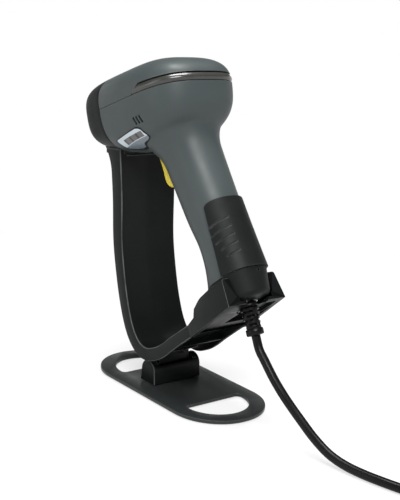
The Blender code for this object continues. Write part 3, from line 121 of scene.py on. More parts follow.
STRIP_TIP = -29 * MM
STRIP_SLANT = 11 * MM

# Sizes of the stand

ARM_HALF = 23.5 * MM
ARM_WEB = 2.4 * MM
ARM_WALL = 2.4 * MM
ARM_CREASE = 1.9 * MM
ARM_SPREAD = 1.8 * MM
PAD_TOP = 1.1 * MM
PLATE_TOP = 3.3 * MM
PLATE_ROUND, PLATE_STRAIGHT = 35 * MM, 40 * MM
SLOT_ROUND = 23.7 * MM

# More sizes of the stand, in millimetres

CUP_HALF, CUP_INSIDE = 23.7, 21.3
CUP_OPENING, CUP_FLOOR = 15.3, 27.3
NOTCH = 9.2
BRACKET_HALF, BRACKET_ROUND = 20.7, 7.8
HINGE_GAP, LEAF_HALF = 15.1, 13.7

# Where a lighter colour is painted on as a highlight: edges that turn this sharply, among faces no larger
# than this

HIGHLIGHT_TURN = math.radians(24)
HIGHLIGHT_FACE = 12 * MM * MM

# Sizes of the lead

CORD_RADIUS = 3 * MM
BOOT_LEAN = math.radians(9.7)
BOOT_DROP = 0.3 * MM + 6.6 * MM * math.sin(BOOT_LEAN)
BOOT = HANDLE @ Matrix.Translation((0, 0, FOOT_END - BOOT_DROP)) @ Matrix.Rotation(-BOOT_LEAN, 4, "X")
PLUG = Matrix.Translation((63.4 * MM, 10 * MM, 5 * MM))
PLUG_START, PLUG_LENGTH = 195.7 * MM, 26 * MM


# Camera, floor and light


def add_object(title, data):
    item = bpy.data.objects.new(title, data)
    bpy.context.scene.collection.objects.link(item)
    return item


def place_camera():
    turn, rise, roll = CAMERA_TURN, CAMERA_RISE, CAMERA_ROLL
    back = Vector((math.sin(turn) * math.cos(rise), -math.cos(turn) * math.cos(rise), math.sin(rise)))
    right = Vector((math.cos(turn), math.sin(turn), 0))
    up = back.cross(right)
    level = right * math.cos(roll) + up * math.sin(roll)
    upright = up * math.cos(roll) - right * math.sin(roll)
    data = bpy.data.cameras.new("photo_camera")
    data.sensor_fit = "HORIZONTAL"
    data.sensor_width = SENSOR
    data.lens = SENSOR * FOCAL_LENGTH / PICTURE_WIDTH
    data.clip_start = 0.02
    camera = add_object("photo_camera", data)
    camera.matrix_world = Matrix((level, upright, back)).transposed().to_4x4()
    camera.location = (level * CAMERA_ACROSS + upright * CAMERA_ABOVE + back * CAMERA_AWAY) * MM
    bpy.context.scene.camera = camera
    return level, back


def softbox(title, place, aim, width, height, power):
    data = bpy.data.lights.new(title, "AREA")
    data.shape = "RECTANGLE"
    data.size = width
    data.size_y = height
    data.energy = power
    lamp = add_object(title, data)
    lamp.location = place
    lamp.rotation_euler = (Vector(place) - Vector(aim)).to_track_quat("Z", "Y").to_euler()


def looked_at(nodes, links):
    """One where the camera, a shiny surface or clear plastic looks straight at this one."""
    path = nodes.new("ShaderNodeLightPath").outputs
    seen = combined(nodes, links, "MAXIMUM", path["Is Camera Ray"], path["Is Transmission Ray"])
    return combined(nodes, links, "MAXIMUM", seen, path["Is Glossy Ray"])


def light_room(right, back):
    scene = bpy.context.scene
    scene.view_settings.view_transform = "Standard"
    world = bpy.data.worlds.new("studio")
    scene.world = world
    world.use_nodes = True
    room = world.node_tree.nodes["Background"]
    room.inputs["Color"].default_value = (0.94, 0.97, 1.0, 1)
    room.inputs["Strength"].default_value = 0.11
    aim = Vector((0, 0.02, 0.13))
    up = Vector((0, 0, 1))
    front = aim + back * 0.85 + right * 0.05 + up * 0.6
    side = aim + back * 0.35 - right * 1.0 + up * 0.3
    softbox("front_softbox", front, aim, width=0.7, height=0.3, power=16)
    softbox("overhead_softbox", aim - back * 0.08 + up * 0.95, aim, width=0.6, height=0.3, power=11.5)
    softbox("side_softbox", side, aim, width=0.5, height=0.9, power=2.0)


def lay_floor():
    """White paper with an upturned edge, shaded near the object and plain white further out."""
    shape = bmesh.new()
    bmesh.ops.create_circle(shape, cap_ends=True, segments=96, radius=FLOOR_RADIUS)
    rim = bmesh.ops.extrude_edge_only(shape, edges=shape.edges[:])
    bmesh.ops.translate(shape, vec=(0, 0, FLOOR_RIM), verts=new_verts(rim))
    floor = block(shape, "floor")
    paper = bpy.data.materials.new("floor_paper")
    paper.use_nodes = True
    nodes, links = paper.node_tree.nodes, paper.node_tree.links
    nodes.clear()
    matt = nodes.new("ShaderNodeBsdfDiffuse")
    matt.inputs["Color"].default_value = (0.86, 0.86, 0.86, 1)
    glow = nodes.new("ShaderNodeEmission")
    glow.inputs["Color"].default_value = (1, 1, 1, 1)
    glow.inputs["Strength"].default_value = 1
    place = nodes.new("ShaderNodeTexCoord")
    reach = nodes.new("ShaderNodeVectorMath")
    reach.operation = "LENGTH"
    links.new(place.outputs["Object"], reach.inputs[0])
    fade = ranged(nodes, links, reach.outputs["Value"], SHADE_NEAR, SHADE_FAR, 0.7, 1.0, way="SMOOTHSTEP")
    pick = nodes.new("ShaderNodeMixShader")
    out = nodes.new("ShaderNodeOutputMaterial")
    links.new(combined(nodes, links, "MULTIPLY", looked_at(nodes, links), fade), pick.inputs["Fac"])
    links.new(matt.outputs[0], pick.inputs[1])
    links.new(glow.outputs[0], pick.inputs[2])
    links.new(pick.outputs[0], out.inputs["Surface"])
    floor.data.materials.append(paper)


# Finishes


def feed(links, socket, value):
    """Sets a plain value or colour at a socket, or links another node's result to it."""
    if isinstance(value, bpy.types.NodeSocket):
        links.new(value, socket)
    elif isinstance(value, tuple):
        socket.default_value = (*value, 1)
    else:
        socket.default_value = value


def combined(nodes, links, operation, one, two):
    """Two results worked into one."""
    node = nodes.new("ShaderNodeMath")
    node.operation = operation
    links.new(one, node.inputs[0])
    links.new(two, node.inputs[1])
    return node.outputs[0]


def ranged(nodes, links, value, start, end, low=0.0, high=1.0, way="LINEAR"):
    """Stretches what lies from start to end so that it runs from low to high."""
    node = nodes.new("ShaderNodeMapRange")
    node.interpolation_type = way
    sockets = {"Value": value, "From Min": start, "From Max": end, "To Min": low, "To Max": high}
    for title, setting in sockets.items():
        feed(links, node.inputs[title], setting)
    return node.outputs["Result"]


def mixed(nodes, links, share, one, two):
    """A colour between two others."""
    node = nodes.new("ShaderNodeMix")
    node.data_type = "RGBA"
    for title, setting in {"Factor": share, "A": one, "B": two}.items():
        feed(links, node.inputs[title], setting)
    return node.outputs["Result"]


def laid_on(nodes, links, group, place, settings):
    """A group of nodes at a place, with its settings."""
    node = nodes.new("ShaderNodeGroup")
    node.node_tree = group
    links.new(place, node.inputs["Place"])
    for title, setting in settings.items():
        feed(links, node.inputs[title], setting)
    return node


def start_group(title, takes, gives):
    """An empty group of nodes, with what it takes and gives."""
    group = bpy.data.node_groups.new(title, "ShaderNodeTree")
    for way, sockets in (("INPUT", takes), ("OUTPUT", gives)):
        for name, kind in sockets.items():
            group.interface.new_socket(name=name, in_out=way, socket_type="NodeSocket" + kind)
    take = group.nodes.new("NodeGroupInput").outputs
    give = group.nodes.new("NodeGroupOutput").inputs
    return group, group.nodes, group.links, take, give


def noise(nodes, links, place, scale, detail=3.0):
    node = nodes.new("ShaderNodeTexNoise")
    feed(links, node.inputs["Scale"], scale)
    node.inputs["Detail"].default_value = detail
    links.new(place, node.inputs["Vector"])
    return node.outputs["Fac"]


def make_moulded():
    """Spark-eroded plastic: fine grain, slow tone drift, handled patches, and a lighter colour painted in
    patches on its edges as a highlight.
    """
    takes = {"Place": "Vector", "Dark": "Color", "Light": "Color", "Smooth": "Float", "Rough": "Float",
             "Grain Scale": "Float", "Edge": "Float", "Worn": "Color"}
    gives = {"Colour": "Color", "Roughness": "Float", "Height": "Float"}
    group, nodes, links, take, give = start_group("moulded_grain", takes, gives)
    drift = noise(nodes, links, take["Place"], 22.0, 2.0)
    touch = noise(nodes, links, take["Place"], 75.0, 4.0)
    grain = noise(nodes, links, take["Place"], take["Grain Scale"], 2.0)
    both = nodes.new("ShaderNodeMix")
    both.inputs["Factor"].default_value = 0.35
    links.new(drift, both.inputs["A"])
    links.new(grain, both.inputs["B"])
    tone = mixed(nodes, links, both.outputs["Result"], take["Dark"], take["Light"])
    patchy = ranged(nodes, links, touch, 0.3, 0.6, 0.35)
    # Painted highlight: the lighter edge colour, broken into patches.
    patchy_highlight = combined(nodes, links, "MULTIPLY", patchy, take["Edge"])
    gloss = ranged(nodes, links, touch, 0.3, 0.7, take["Smooth"], take["Rough"])
    links.new(mixed(nodes, links, patchy_highlight, tone, take["Worn"]), give["Colour"])
    links.new(gloss, give["Roughness"])
    links.new(grain, give["Height"])
    return group


def make_specks():
    """Dust and tiny scuffs, as a mask."""
    takes = {"Place": "Vector", "Amount": "Float"}
    group, nodes, links, take, give = start_group("dust_specks", takes, {"Mask": "Float"})
    cells = nodes.new("ShaderNodeTexVoronoi")
    cells.inputs["Scale"].default_value = 420.0
    links.new(take["Place"], cells.inputs["Vector"])
    near = ranged(nodes, links, cells.outputs["Distance"], 0.16, 0.05)
    where = ranged(nodes, links, noise(nodes, links, take["Place"], 40.0), 0.5, 0.7)
    both = combined(nodes, links, "MULTIPLY", near, where)
    links.new(combined(nodes, links, "MULTIPLY", both, take["Amount"]), give["Mask"])
    return group


MOULDED = make_moulded()
SPECKS = make_specks()
DUST = (0.35, 0.35, 0.34)


def start_material(title):
    material = bpy.data.materials.new(title)
    material.use_nodes = True
    nodes, links = material.node_tree.nodes, material.node_tree.links
    shader = nodes["Principled BSDF"]
    place = nodes.new("ShaderNodeTexCoord").outputs["Object"]
    return material, nodes, links, shader, place


def raise_bump(nodes, links, shader, height, strength, depth):
    bump = nodes.new("ShaderNodeBump")
    bump.inputs["Strength"].default_value = strength
    bump.inputs["Distance"].default_value = depth
    links.new(height, bump.inputs["Height"])
    links.new(bump.outputs["Normal"], shader.inputs["Normal"])


def cloud_over(nodes, links, shader, value, dark, light, smooth, rough):
    """Lets a finish's colour and gloss follow a value."""
    links.new(mixed(nodes, links, value, dark, light), shader.inputs["Base Color"])
    links.new(ranged(nodes, links, value, 0.0, 1.0, smooth, rough), shader.inputs["Roughness"])


def plastic(title, dark, light, smooth, rough, grain=1800.0, bump=0.25, depth=0.05,
            specks=0.06, shine=0.3, highlight_colour=None):
    """A moulded finish with grain, drift and a few specks of dust. A lighter colour, where given, is painted
    on its edges as a highlight.
    """
    material, nodes, links, shader, place = start_material(title)
    coat = laid_on(nodes, links, MOULDED, place, {
        "Dark": dark, "Light": light, "Smooth": smooth, "Rough": rough, "Grain Scale": grain,
        "Worn": highlight_colour or light})
    # Marked edges take the lighter colour as a painted highlight.
    if highlight_colour:
        edges = nodes.new("ShaderNodeAttribute")
        edges.attribute_name = "edge_wear"
        links.new(edges.outputs["Fac"], coat.inputs["Edge"])
    dust = laid_on(nodes, links, SPECKS, place, {"Amount": specks})
    colour = mixed(nodes, links, dust.outputs["Mask"], coat.outputs["Colour"], DUST)
    links.new(colour, shader.inputs["Base Color"])
    links.new(coat.outputs["Roughness"], shader.inputs["Roughness"])
    shader.inputs["Specular IOR Level"].default_value = shine
    raise_bump(nodes, links, shader, coat.outputs["Height"], bump, depth * MM)
    return material


def brushed(title, dark, light):
    """Turned or brushed steel, with fine lines along X."""
    material, nodes, links, shader, place = start_material(title)
    squeeze = nodes.new("ShaderNodeMapping")
    squeeze.inputs["Scale"].default_value = (300, 4000, 4000)
    links.new(place, squeeze.inputs["Vector"])
    lines = noise(nodes, links, squeeze.outputs["Vector"], 1.0, 4.0)
    cloud_over(nodes, links, shader, lines, dark, light, 0.22, 0.42)
    shader.inputs["Metallic"].default_value = 1.0
    raise_bump(nodes, links, shader, lines, 0.15, 0.02 * MM)
    return material


def clear_red():
    """The scan window's dark red filter."""
    material, nodes, links, shader, place = start_material("window_red")
    haze = noise(nodes, links, place, 60.0)
    cloud_over(nodes, links, shader, haze, (0.30, 0.008, 0.012), (0.40, 0.014, 0.016), 0.02, 0.09)
    shader.inputs["Transmission Weight"].default_value = 0.7
    shader.inputs["Specular IOR Level"].default_value = 0.2
    shader.inputs["IOR"].default_value = 1.49
    return material


def smoked_strip():
    """The glossy smoked light strip round the back of the head."""
    material, nodes, links, shader, place = start_material("strip_smoke")
    cloud = noise(nodes, links, place, 90.0)
    cloud_over(nodes, links, shader, cloud, (0.022, 0.0225, 0.020), (0.042, 0.042, 0.037), 0.2, 0.28)
    shader.inputs["Coat Weight"].default_value = 0.2
    shader.inputs["Coat Roughness"].default_value = 0.14
    return material


def printed_label():
    """Pale film with a row of plain grey blocks between dark bars, which carry no words, and painted shade
    along its lower edge.
    """
    material, nodes, links, shader, place = start_material("label_silver")
    turn = nodes.new("ShaderNodeMapping")
    turn.vector_type = "TEXTURE"
    turn.inputs["Location"].default_value = LABEL_MIDDLE
    turn.inputs["Rotation"].default_value = (LABEL_LEAN, 0, 0)
    links.new(place, turn.inputs["Vector"])
    split = nodes.new("ShaderNodeSeparateXYZ")
    links.new(turn.outputs["Vector"], split.inputs["Vector"])
    long, short = split.outputs["Y"], split.outputs["Z"]

    def between(value, low, high):
        node = nodes.new("ShaderNodeMath")
        node.operation = "COMPARE"
        node.inputs[1].default_value = (low + high) / 2
        node.inputs[2].default_value = (high - low) / 2
        links.new(value, node.inputs[0])
        return node.outputs[0]

    flat = nodes.new("ShaderNodeCombineXYZ")
    links.new(long, flat.inputs["X"])
    flat.inputs["Y"].default_value = 10 * MM
    bars = nodes.new("ShaderNodeTexBrick")
    bars.offset = 0.0
    sockets = {"Vector": flat.outputs["Vector"], "Scale": 1000.0, "Brick Width": 8.0, "Row Height": 20.0,
               "Mortar Size": 1.2, "Mortar Smooth": 0.1, "Color1": (0.09, 0.085, 0.08),
               "Color2": (0.075, 0.07, 0.07), "Mortar": (0.012, 0.013, 0.014)}
    for title, setting in sockets.items():
        feed(links, bars.inputs[title], setting)
    film = laid_on(nodes, links, MOULDED, place, {
        "Dark": (0.36, 0.41, 0.45), "Light": (0.50, 0.56, 0.60), "Smooth": 0.28, "Rough": 0.4,
        "Grain Scale": 900.0})
    # Painted shade: the film is darker along its lower edge, where it turns under.
    underside_shade = between(short, -20 * MM, -1.7 * MM)
    shaded_film = mixed(nodes, links, underside_shade, film.outputs["Colour"], (0.13, 0.155, 0.18))
    field = combined(nodes, links, "MULTIPLY", between(long, -9.5 * MM, 14.5 * MM),
                     between(short, -1.3 * MM, 2.3 * MM))
    colour = mixed(nodes, links, field, shaded_film, bars.outputs["Color"])
    links.new(colour, shader.inputs["Base Color"])
    links.new(film.outputs["Roughness"], shader.inputs["Roughness"])
    raise_bump(nodes, links, shader, film.outputs["Height"], 0.1, 0.02 * MM)
    return material


def circuit_board():
    """Green lacquer over copper tracks."""
    material, nodes, links, shader, place = start_material("board_green")
    tracks = nodes.new("ShaderNodeTexBrick")
    sockets = {"Vector": place, "Scale": 120.0, "Mortar Size": 0.05, "Color1": (0.008, 0.085, 0.035),
               "Color2": (0.012, 0.11, 0.045), "Mortar": (0.03, 0.19, 0.07)}
    for title, setting in sockets.items():
        feed(links, tracks.inputs[title], setting)
    links.new(tracks.outputs["Color"], shader.inputs["Base Color"])
    cloud = noise(nodes, links, place, 150.0, 2.0)
    links.new(ranged(nodes, links, cloud, 0.0, 1.0, 0.25, 0.45), shader.inputs["Roughness"])
    raise_bump(nodes, links, shader, tracks.outputs["Fac"], 0.2, 0.03 * MM)
    return material


# The lighter edge colour that some finishes carry is a painted highlight.
MOULDINGS = {
    "plate_black": dict(dark=(0.015, 0.017, 0.017), light=(0.026, 0.029, 0.029), smooth=0.30, rough=0.44,
                        grain=2400, bump=0.2, depth=0.03, highlight_colour=(0.06, 0.064, 0.064)),
    "pad_rubber": dict(dark=(0.014, 0.014, 0.015), light=(0.026, 0.026, 0.027), smooth=0.75, rough=0.9,
                       grain=1200, bump=0.5, depth=0.08),
    "stand_plastic": dict(dark=(0.004, 0.005, 0.005), light=(0.009, 0.010, 0.010), smooth=0.34, rough=0.46,
                          grain=1500, shine=0.1, highlight_colour=(0.09, 0.095, 0.095)),
    # A flat black without gloss, painted on the walls of hollows as shade.
    "seat_black": dict(dark=(0.003, 0.003, 0.003), light=(0.006, 0.006, 0.006), smooth=0.7, rough=0.85,
                       grain=1500, shine=0.0),
    "housing_slate": dict(dark=(0.035, 0.044, 0.0445), light=(0.049, 0.059, 0.0595), smooth=0.42,
                          rough=0.52, grain=1700, bump=0.22, highlight_colour=(0.07, 0.078, 0.078)),
    "bezel_dark": dict(dark=(0.004, 0.005, 0.005), light=(0.009, 0.010, 0.010), smooth=0.4, rough=0.52,
                       grain=1700, shine=0.13),
    "grip_rubber": dict(dark=(0.005, 0.006, 0.006), light=(0.010, 0.011, 0.011), smooth=0.46, rough=0.6,
                        grain=1100, bump=0.4, depth=0.06, shine=0.12, highlight_colour=(0.03, 0.031, 0.031)),
    "trigger_yellow": dict(dark=(0.55, 0.42, 0.03), light=(0.70, 0.56, 0.06), smooth=0.25, rough=0.36,
                           grain=1500, bump=0.1),
    "inner_black": dict(dark=(0.005, 0.005, 0.005), light=(0.011, 0.011, 0.011), smooth=0.4, rough=0.55,
                        grain=1500, shine=0.15),
    "inner_clear": dict(dark=(0.42, 0.44, 0.47), light=(0.55, 0.57, 0.6), smooth=0.2, rough=0.3,
                        grain=1500, bump=0.1),
    "ribbon_amber": dict(dark=(0.26, 0.11, 0.015), light=(0.40, 0.20, 0.04), smooth=0.25, rough=0.35,
                         grain=700, bump=0.1),
    "lens": dict(dark=(0.012, 0.016, 0.03), light=(0.03, 0.035, 0.06), smooth=0.03, rough=0.07,
                 grain=900, bump=0.02, depth=0.01, specks=0.02),
    "cord_rubber": dict(dark=(0.003, 0.0031, 0.0031), light=(0.007, 0.007, 0.007), smooth=0.24,
                        rough=0.36, grain=1300, bump=0.2, shine=0.12),
    "tie_black": dict(dark=(0.012, 0.012, 0.013), light=(0.024, 0.024, 0.025), smooth=0.8, rough=0.95,
                      grain=2600, bump=0.8, depth=0.15),
}
FINISH = {title: plastic(title, **look) for title, look in MOULDINGS.items()}
FINISH["screw_black"] = brushed("screw_black", (0.012, 0.012, 0.013), (0.03, 0.03, 0.031))
FINISH["steel"] = brushed("steel", (0.48, 0.48, 0.49), (0.68, 0.68, 0.69))
FINISH["window_red"] = clear_red()
FINISH["strip_smoke"] = smoked_strip()
FINISH["label_silver"] = printed_label()
FINISH["board_green"] = circuit_board()


# Working with shapes


def block(shape, title="block"):
    mesh = bpy.data.meshes.new(title)
    shape.to_mesh(mesh)
    shape.free()
    return add_object(title, mesh)


def drop(item):
    data = item.data
    bpy.data.objects.remove(item)
    if isinstance(data, bpy.types.Mesh):
        bpy.data.meshes.remove(data)
    else:
        bpy.data.curves.remove(data)


def taken(item):
    """The shape of a block with its modifiers, which removes the block."""
    bpy.context.view_layer.update()
    view = bpy.context.evaluated_depsgraph_get()
    mesh = bpy.data.meshes.new_from_object(item.evaluated_get(view))
    shape = bmesh.new()
    shape.from_mesh(mesh)
    bpy.data.meshes.remove(mesh)
    drop(item)
    return shape


def carve(shape, *tools, way="DIFFERENCE"):
    """Cuts tools out of a shape, or adds them to it."""
    for part in (shape, *tools):
        bmesh.ops.triangulate(part, faces=[face for face in part.faces if len(face.verts) > 4])
    item = block(shape)
    others = [block(tool, "tool") for tool in tools]
    for other in others:
        change = item.modifiers.new("carve", "BOOLEAN")
        change.object = other
        change.operation = way
        change.solver = "EXACT"
    result = taken(item)
    for other in others:
        drop(other)
    return result


def joined(*shapes):
    result = bmesh.new()
    for shape in shapes:
        mesh = bpy.data.meshes.new("part")
        shape.to_mesh(mesh)
        shape.free()
        result.from_mesh(mesh)
        bpy.data.meshes.remove(mesh)
    return result


def fused(shape, voxel):
    """Closed forms that overlap, melted into one skin."""
    item = block(shape)
    change = item.modifiers.new("fuse", "REMESH")
    change.mode = "VOXEL"
    change.voxel_size = voxel
    return taken(item)


def soften(shape, verts, rounds):
    for _ in range(rounds):
        bmesh.ops.smooth_vert(shape, verts=verts, factor=0.5,
                              use_axis_x=True, use_axis_y=True, use_axis_z=True)


def face_out(shape):
    bmesh.ops.recalc_face_normals(shape, faces=shape.faces)
    return shape


def new_verts(made):
    """The points among the things that an operator has made."""
    return [part for part in made["geom"] if isinstance(part, bmesh.types.BMVert)]


def edges_along(shape, axis):
    """The edges that run along x, y or z."""
    return [edge for edge in shape.edges
            if abs(getattr(edge.verts[0].co, axis) - getattr(edge.verts[1].co, axis)) > 1 * MM]


def sliced(shape, point, normal, **options):
    """Adds edges where a plane passes through a shape."""
    everything = shape.verts[:] + shape.edges[:] + shape.faces[:]
    return bmesh.ops.bisect_plane(shape, geom=everything, plane_co=point, plane_no=normal, **options)


def placed(shape, matrix):
    bmesh.ops.transform(shape, matrix=matrix, verts=shape.verts)
    return shape


def rounded(shape, edges, width, segments=3):
    bmesh.ops.bevel(shape, geom=edges, offset=width, offset_type="OFFSET", affect="EDGES", segments=segments,
                    profile=0.5, material=-1, clamp_overlap=True)
    return shape


def sharp_edges(shape, degrees=35):
    return [edge for edge in shape.edges
            if len(edge.link_faces) == 2 and edge.calc_face_angle(0) > math.radians(degrees)]


def trim(shape, point, normal, width=0.0):
    """Takes away what lies on the normal's side of a plane, closes the cut and softens its edge."""
    made = sliced(shape, point, normal, clear_outer=True)
    rim = [part for part in made["geom_cut"] if isinstance(part, bmesh.types.BMEdge)]
    bmesh.ops.holes_fill(shape, edges=rim, sides=0)
    if width:
        rounded(shape, [edge for edge in rim if edge.is_valid], width, 2)
    return shape


def cube(low, high):
    shape = bmesh.new()
    low, high = Vector(low), Vector(high)
    bmesh.ops.create_cube(shape, size=1)
    bmesh.ops.scale(shape, vec=high - low, verts=shape.verts)
    bmesh.ops.translate(shape, vec=(low + high) / 2, verts=shape.verts)
    return shape


def box(low, high):
    """A cube between two corners in millimetres."""
    return cube([value * MM for value in low], [value * MM for value in high])


def rod(radius, start, end, sides=40):
    shape = bmesh.new()
    start, end = Vector(start), Vector(end)
    way = end - start
    bmesh.ops.create_cone(shape, cap_ends=True, segments=sides, radius1=radius, radius2=radius,
                          depth=way.length)
    turn = way.to_track_quat("Z", "Y").to_matrix().to_4x4()
    return placed(shape, Matrix.Translation((start + end) / 2) @ turn)


def slab(outline, low, high):
    """A side outline of (y, z) points, drawn out between two places along X."""
    shape = bmesh.new()
    face = shape.faces.new([shape.verts.new((low, y, z)) for y, z in outline])
    made = bmesh.ops.extrude_face_region(shape, geom=[face])
    bmesh.ops.translate(shape, vec=(high - low, 0, 0), verts=new_verts(made))
    return face_out(shape)


def tube(place, low, high, rows, sides=72):
    """A closed column whose every point is set by an angle and a height."""
    shape = bmesh.new()
    bmesh.ops.create_cone(shape, cap_ends=True, segments=sides, radius1=1, radius2=1, depth=1)
    upright = [edge for edge in shape.edges if abs(edge.verts[0].co.z - edge.verts[1].co.z) > 0.5]
    bmesh.ops.subdivide_edges(shape, edges=upright, cuts=rows - 1, use_grid_fill=True)
    for vert in shape.verts:
        vert.co = place(math.atan2(vert.co.y, vert.co.x), low + (high - low) * (vert.co.z + 0.5))
    face_out(shape)
    if shape.calc_volume(signed=True) < 0:
        bmesh.ops.reverse_faces(shape, faces=shape.faces)
    return shape


def turned(profile, sides=48):
    """A profile of (radius, z) points spun round Z."""
    shape = bmesh.new()
    verts = [shape.verts.new((radius, 0, z)) for radius, z in profile]
    edges = [shape.edges.new(pair) for pair in zip(verts, verts[1:])]
    bmesh.ops.spin(shape, geom=verts + edges, cent=(0, 0, 0), axis=(0, 0, 1), dvec=(0, 0, 0),
                   angle=2 * math.pi, steps=sides, use_merge=True)
    bmesh.ops.remove_doubles(shape, verts=shape.verts, dist=MERGE)
    return face_out(shape)


def skin(place, columns, rows, thick):
    """A thin sheet set point by point from (-1..1, 0..1), given its thickness inwards."""
    shape = bmesh.new()
    bmesh.ops.create_grid(shape, x_segments=columns, y_segments=rows, size=1)
    for vert in shape.verts:
        vert.co = place(vert.co.x, (vert.co.y + 1) / 2)
    face_out(shape)
    bmesh.ops.solidify(shape, geom=shape.faces[:], thickness=thick)
    return face_out(shape)


def mark_edges(shape):
    """Notes the points along softened outward edges, where a painted highlight goes."""
    highlight_layer = shape.verts.layers.float.new("edge_wear")
    for edge in shape.edges:
        if len(edge.link_faces) == 2 and edge.is_convex and edge.calc_face_angle(0) > HIGHLIGHT_TURN:
            for vert in edge.verts:
                if max(face.calc_area() for face in vert.link_faces) < HIGHLIGHT_FACE:
                    vert[highlight_layer] = 1.0


def piece(name, shape, finish, body, *nodes, sharp=38):
    """Makes a shape a finished object on a body, in place of the nodes it stands for."""
    bmesh.ops.remove_doubles(shape, verts=shape.verts, dist=MERGE)
    face_out(shape)
    mark_edges(shape)
    item = block(shape, name)
    item.data.shade_smooth()
    item.data.set_sharp_from_angle(angle=math.radians(sharp))
    item.data.materials.append(FINISH[finish])
    if body:
        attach(item, body)
    if nodes:
        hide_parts(*nodes)
    return item


def paint_shade_inside(item, inside):
    """Paints the walls of a hollow a flat black as shade, by a test on each face's place on the handle."""
    item.data.materials.append(FINISH["seat_black"])
    for face in item.data.polygons:
        if inside(HANDLE.inverted() @ face.center):
            face.material_index = 1


# Forms of the head, the handle and the foot


def powered(value, power):
    return math.copysign(abs(value) ** power, value)


def rounding(share, power):
    return max(0.0, 1 - abs(share) ** power) ** (1 / power)


def crown(u):
    share = max(0.0, (u - BEZEL_SPLIT) / (HEAD_MID + HEAD_BACK - BEZEL_SPLIT))
    return CROWN_FRONT - (CROWN_FRONT - CROWN_REAR) * share ** 1.8


def belly(u):
    share = (u - HEAD_MID + HEAD_FRONT) / (HEAD_BACK + HEAD_FRONT)
    return BELLY_ENDS + (BELLY_MIDDLE - BELLY_ENDS) * math.sin(math.pi * min(1.0, max(0.0, share))) ** 1.5


def head_point(angle, level, inset=0.0):
    """A point of the head's skin, which is rounder above the seam and has a slight draft below it."""
    if level >= 0:
        half = rounding(level, SIDE_ROUND_ABOVE)
        back = rounding(level, BACK_ROUND_ABOVE)
    else:
        half = rounding(level, SIDE_ROUND_BELOW)
        back = rounding(level, BACK_ROUND_BELOW) * (1 + BACK_DRAFT * level)
    power = 2 / (BACK_SQUARE if math.sin(angle) > 0 else NOSE_SQUARE)
    along = powered(math.sin(angle), power)
    if along > 0:
        u = HEAD_MID + along * ((HEAD_BACK - inset) * back)
    else:
        u = HEAD_MID + along * ((HEAD_FRONT - inset) * rounding(level, FRONT_ROUND))
    height = (crown(u) if level >= 0 else belly(u)) - inset
    return Vector(((HEAD_HALF - inset) * half * powered(math.cos(angle), power), u, level * height))


def head_at(angle, v, inset=0.0):
    """A point of the head's side at a height above or below the seam."""
    level = v / CROWN_FRONT
    for _ in range(6):
        u = head_point(angle, level, inset).y
        level = v / ((crown(u) if v >= 0 else belly(u)) - inset)
    return head_point(angle, level, inset)


def head_solid(inset=0.0, columns=128, rows=80):
    shape = bmesh.new()
    bmesh.ops.create_uvsphere(shape, u_segments=columns, v_segments=rows, radius=1)
    for vert in shape.verts:
        vert.co = head_point(math.atan2(vert.co.y, vert.co.x), max(-1.0, min(1.0, vert.co.z)), inset)
    return face_out(shape)


def handle_lean(z):
    """Nothing at the handle's slimmest height, and more above and below it."""
    return ((z - HANDLE_SLIM) / HANDLE_REACH) ** 2


def handle_front(z):
    """How far the handle's front stands out: a slim waist above a kick at its foot."""
    waist = WAIST * math.exp(-(((z - WAIST_AT) / WAIST_REACH) ** 2))
    kick = KICK * (max(0.0, KICK_START - z) / KICK_REACH) ** 2
    return HANDLE_FRONT + 1.2 * MM * handle_lean(z) - waist + kick


def handle_sizes(z):
    """Half the handle's width, and how far its back and its front stand out."""
    lean = handle_lean(z)
    flare = FLARE * (max(0.0, z - FLARE_START) / (HANDLE_TOP - FLARE_START)) ** 2
    half = HANDLE_HALF + 0.9 * MM * lean
    back = HANDLE_BACK + 0.5 * MM * lean
    return half + flare, back + flare, handle_front(z) + flare


def handle_point(angle, z, inset=0.0):
    half, back, front = handle_sizes(z)
    along = powered(math.sin(angle), HANDLE_ROUND)
    return Vector(((half - inset) * powered(math.cos(angle), HANDLE_ROUND),
                   along * ((back if along > 0 else front) - inset), z))


def foot_point(angle, z, inset=0.0):
    share = min(1.0, max(0.0, (FOOT_SEAM - z) / (FOOT_SEAM - FOOT_END)))
    taper = 1 - FOOT_TAPER * share
    side = handle_point(angle, FOOT_SEAM)
    side.z = 0
    side = side * taper - side.normalized() * inset
    return Vector((side.x, side.y, z))


# Scanner: housing with the handle, cover, bezel, strip, foot and trim


def near_shoulder(point):
    """True where the head's skin and the handle's skin lie close together."""
    at = HANDLE.inverted() @ point
    if at.z > SHOULDER_HIGH or at.z < SHOULDER_LOW:
        return False
    half, back, front = handle_sizes(min(at.z, HANDLE_TOP))
    power = 2 / HANDLE_ROUND
    grip = (abs(at.x / half) ** power + abs(at.y / (back if at.y > 0 else front)) ** power) ** (1 / power)
    on_handle = (grip - 1) * half
    up = HEAD.inverted() @ point
    drop_share = -up.z / belly(up.y)
    return abs(on_handle) < SHOULDER_REACH and abs(up.z) > 15 * MM and drop_share < 1.25


def housing_skin():
    """Head and handle melted into one form, with a soft shoulder between them."""
    head = placed(head_solid(0.0, *COARSE), HEAD)
    handle = placed(tube(handle_point, FOOT_SEAM - 4 * MM, HANDLE_TOP, 48, 80), HANDLE)
    shape = fused(joined(head, handle), MELT)
    soften(shape, shape.verts[:], 6)
    shoulder = [vert for vert in shape.verts if near_shoulder(vert.co)]
    soften(shape, shoulder, 14)
    return shape


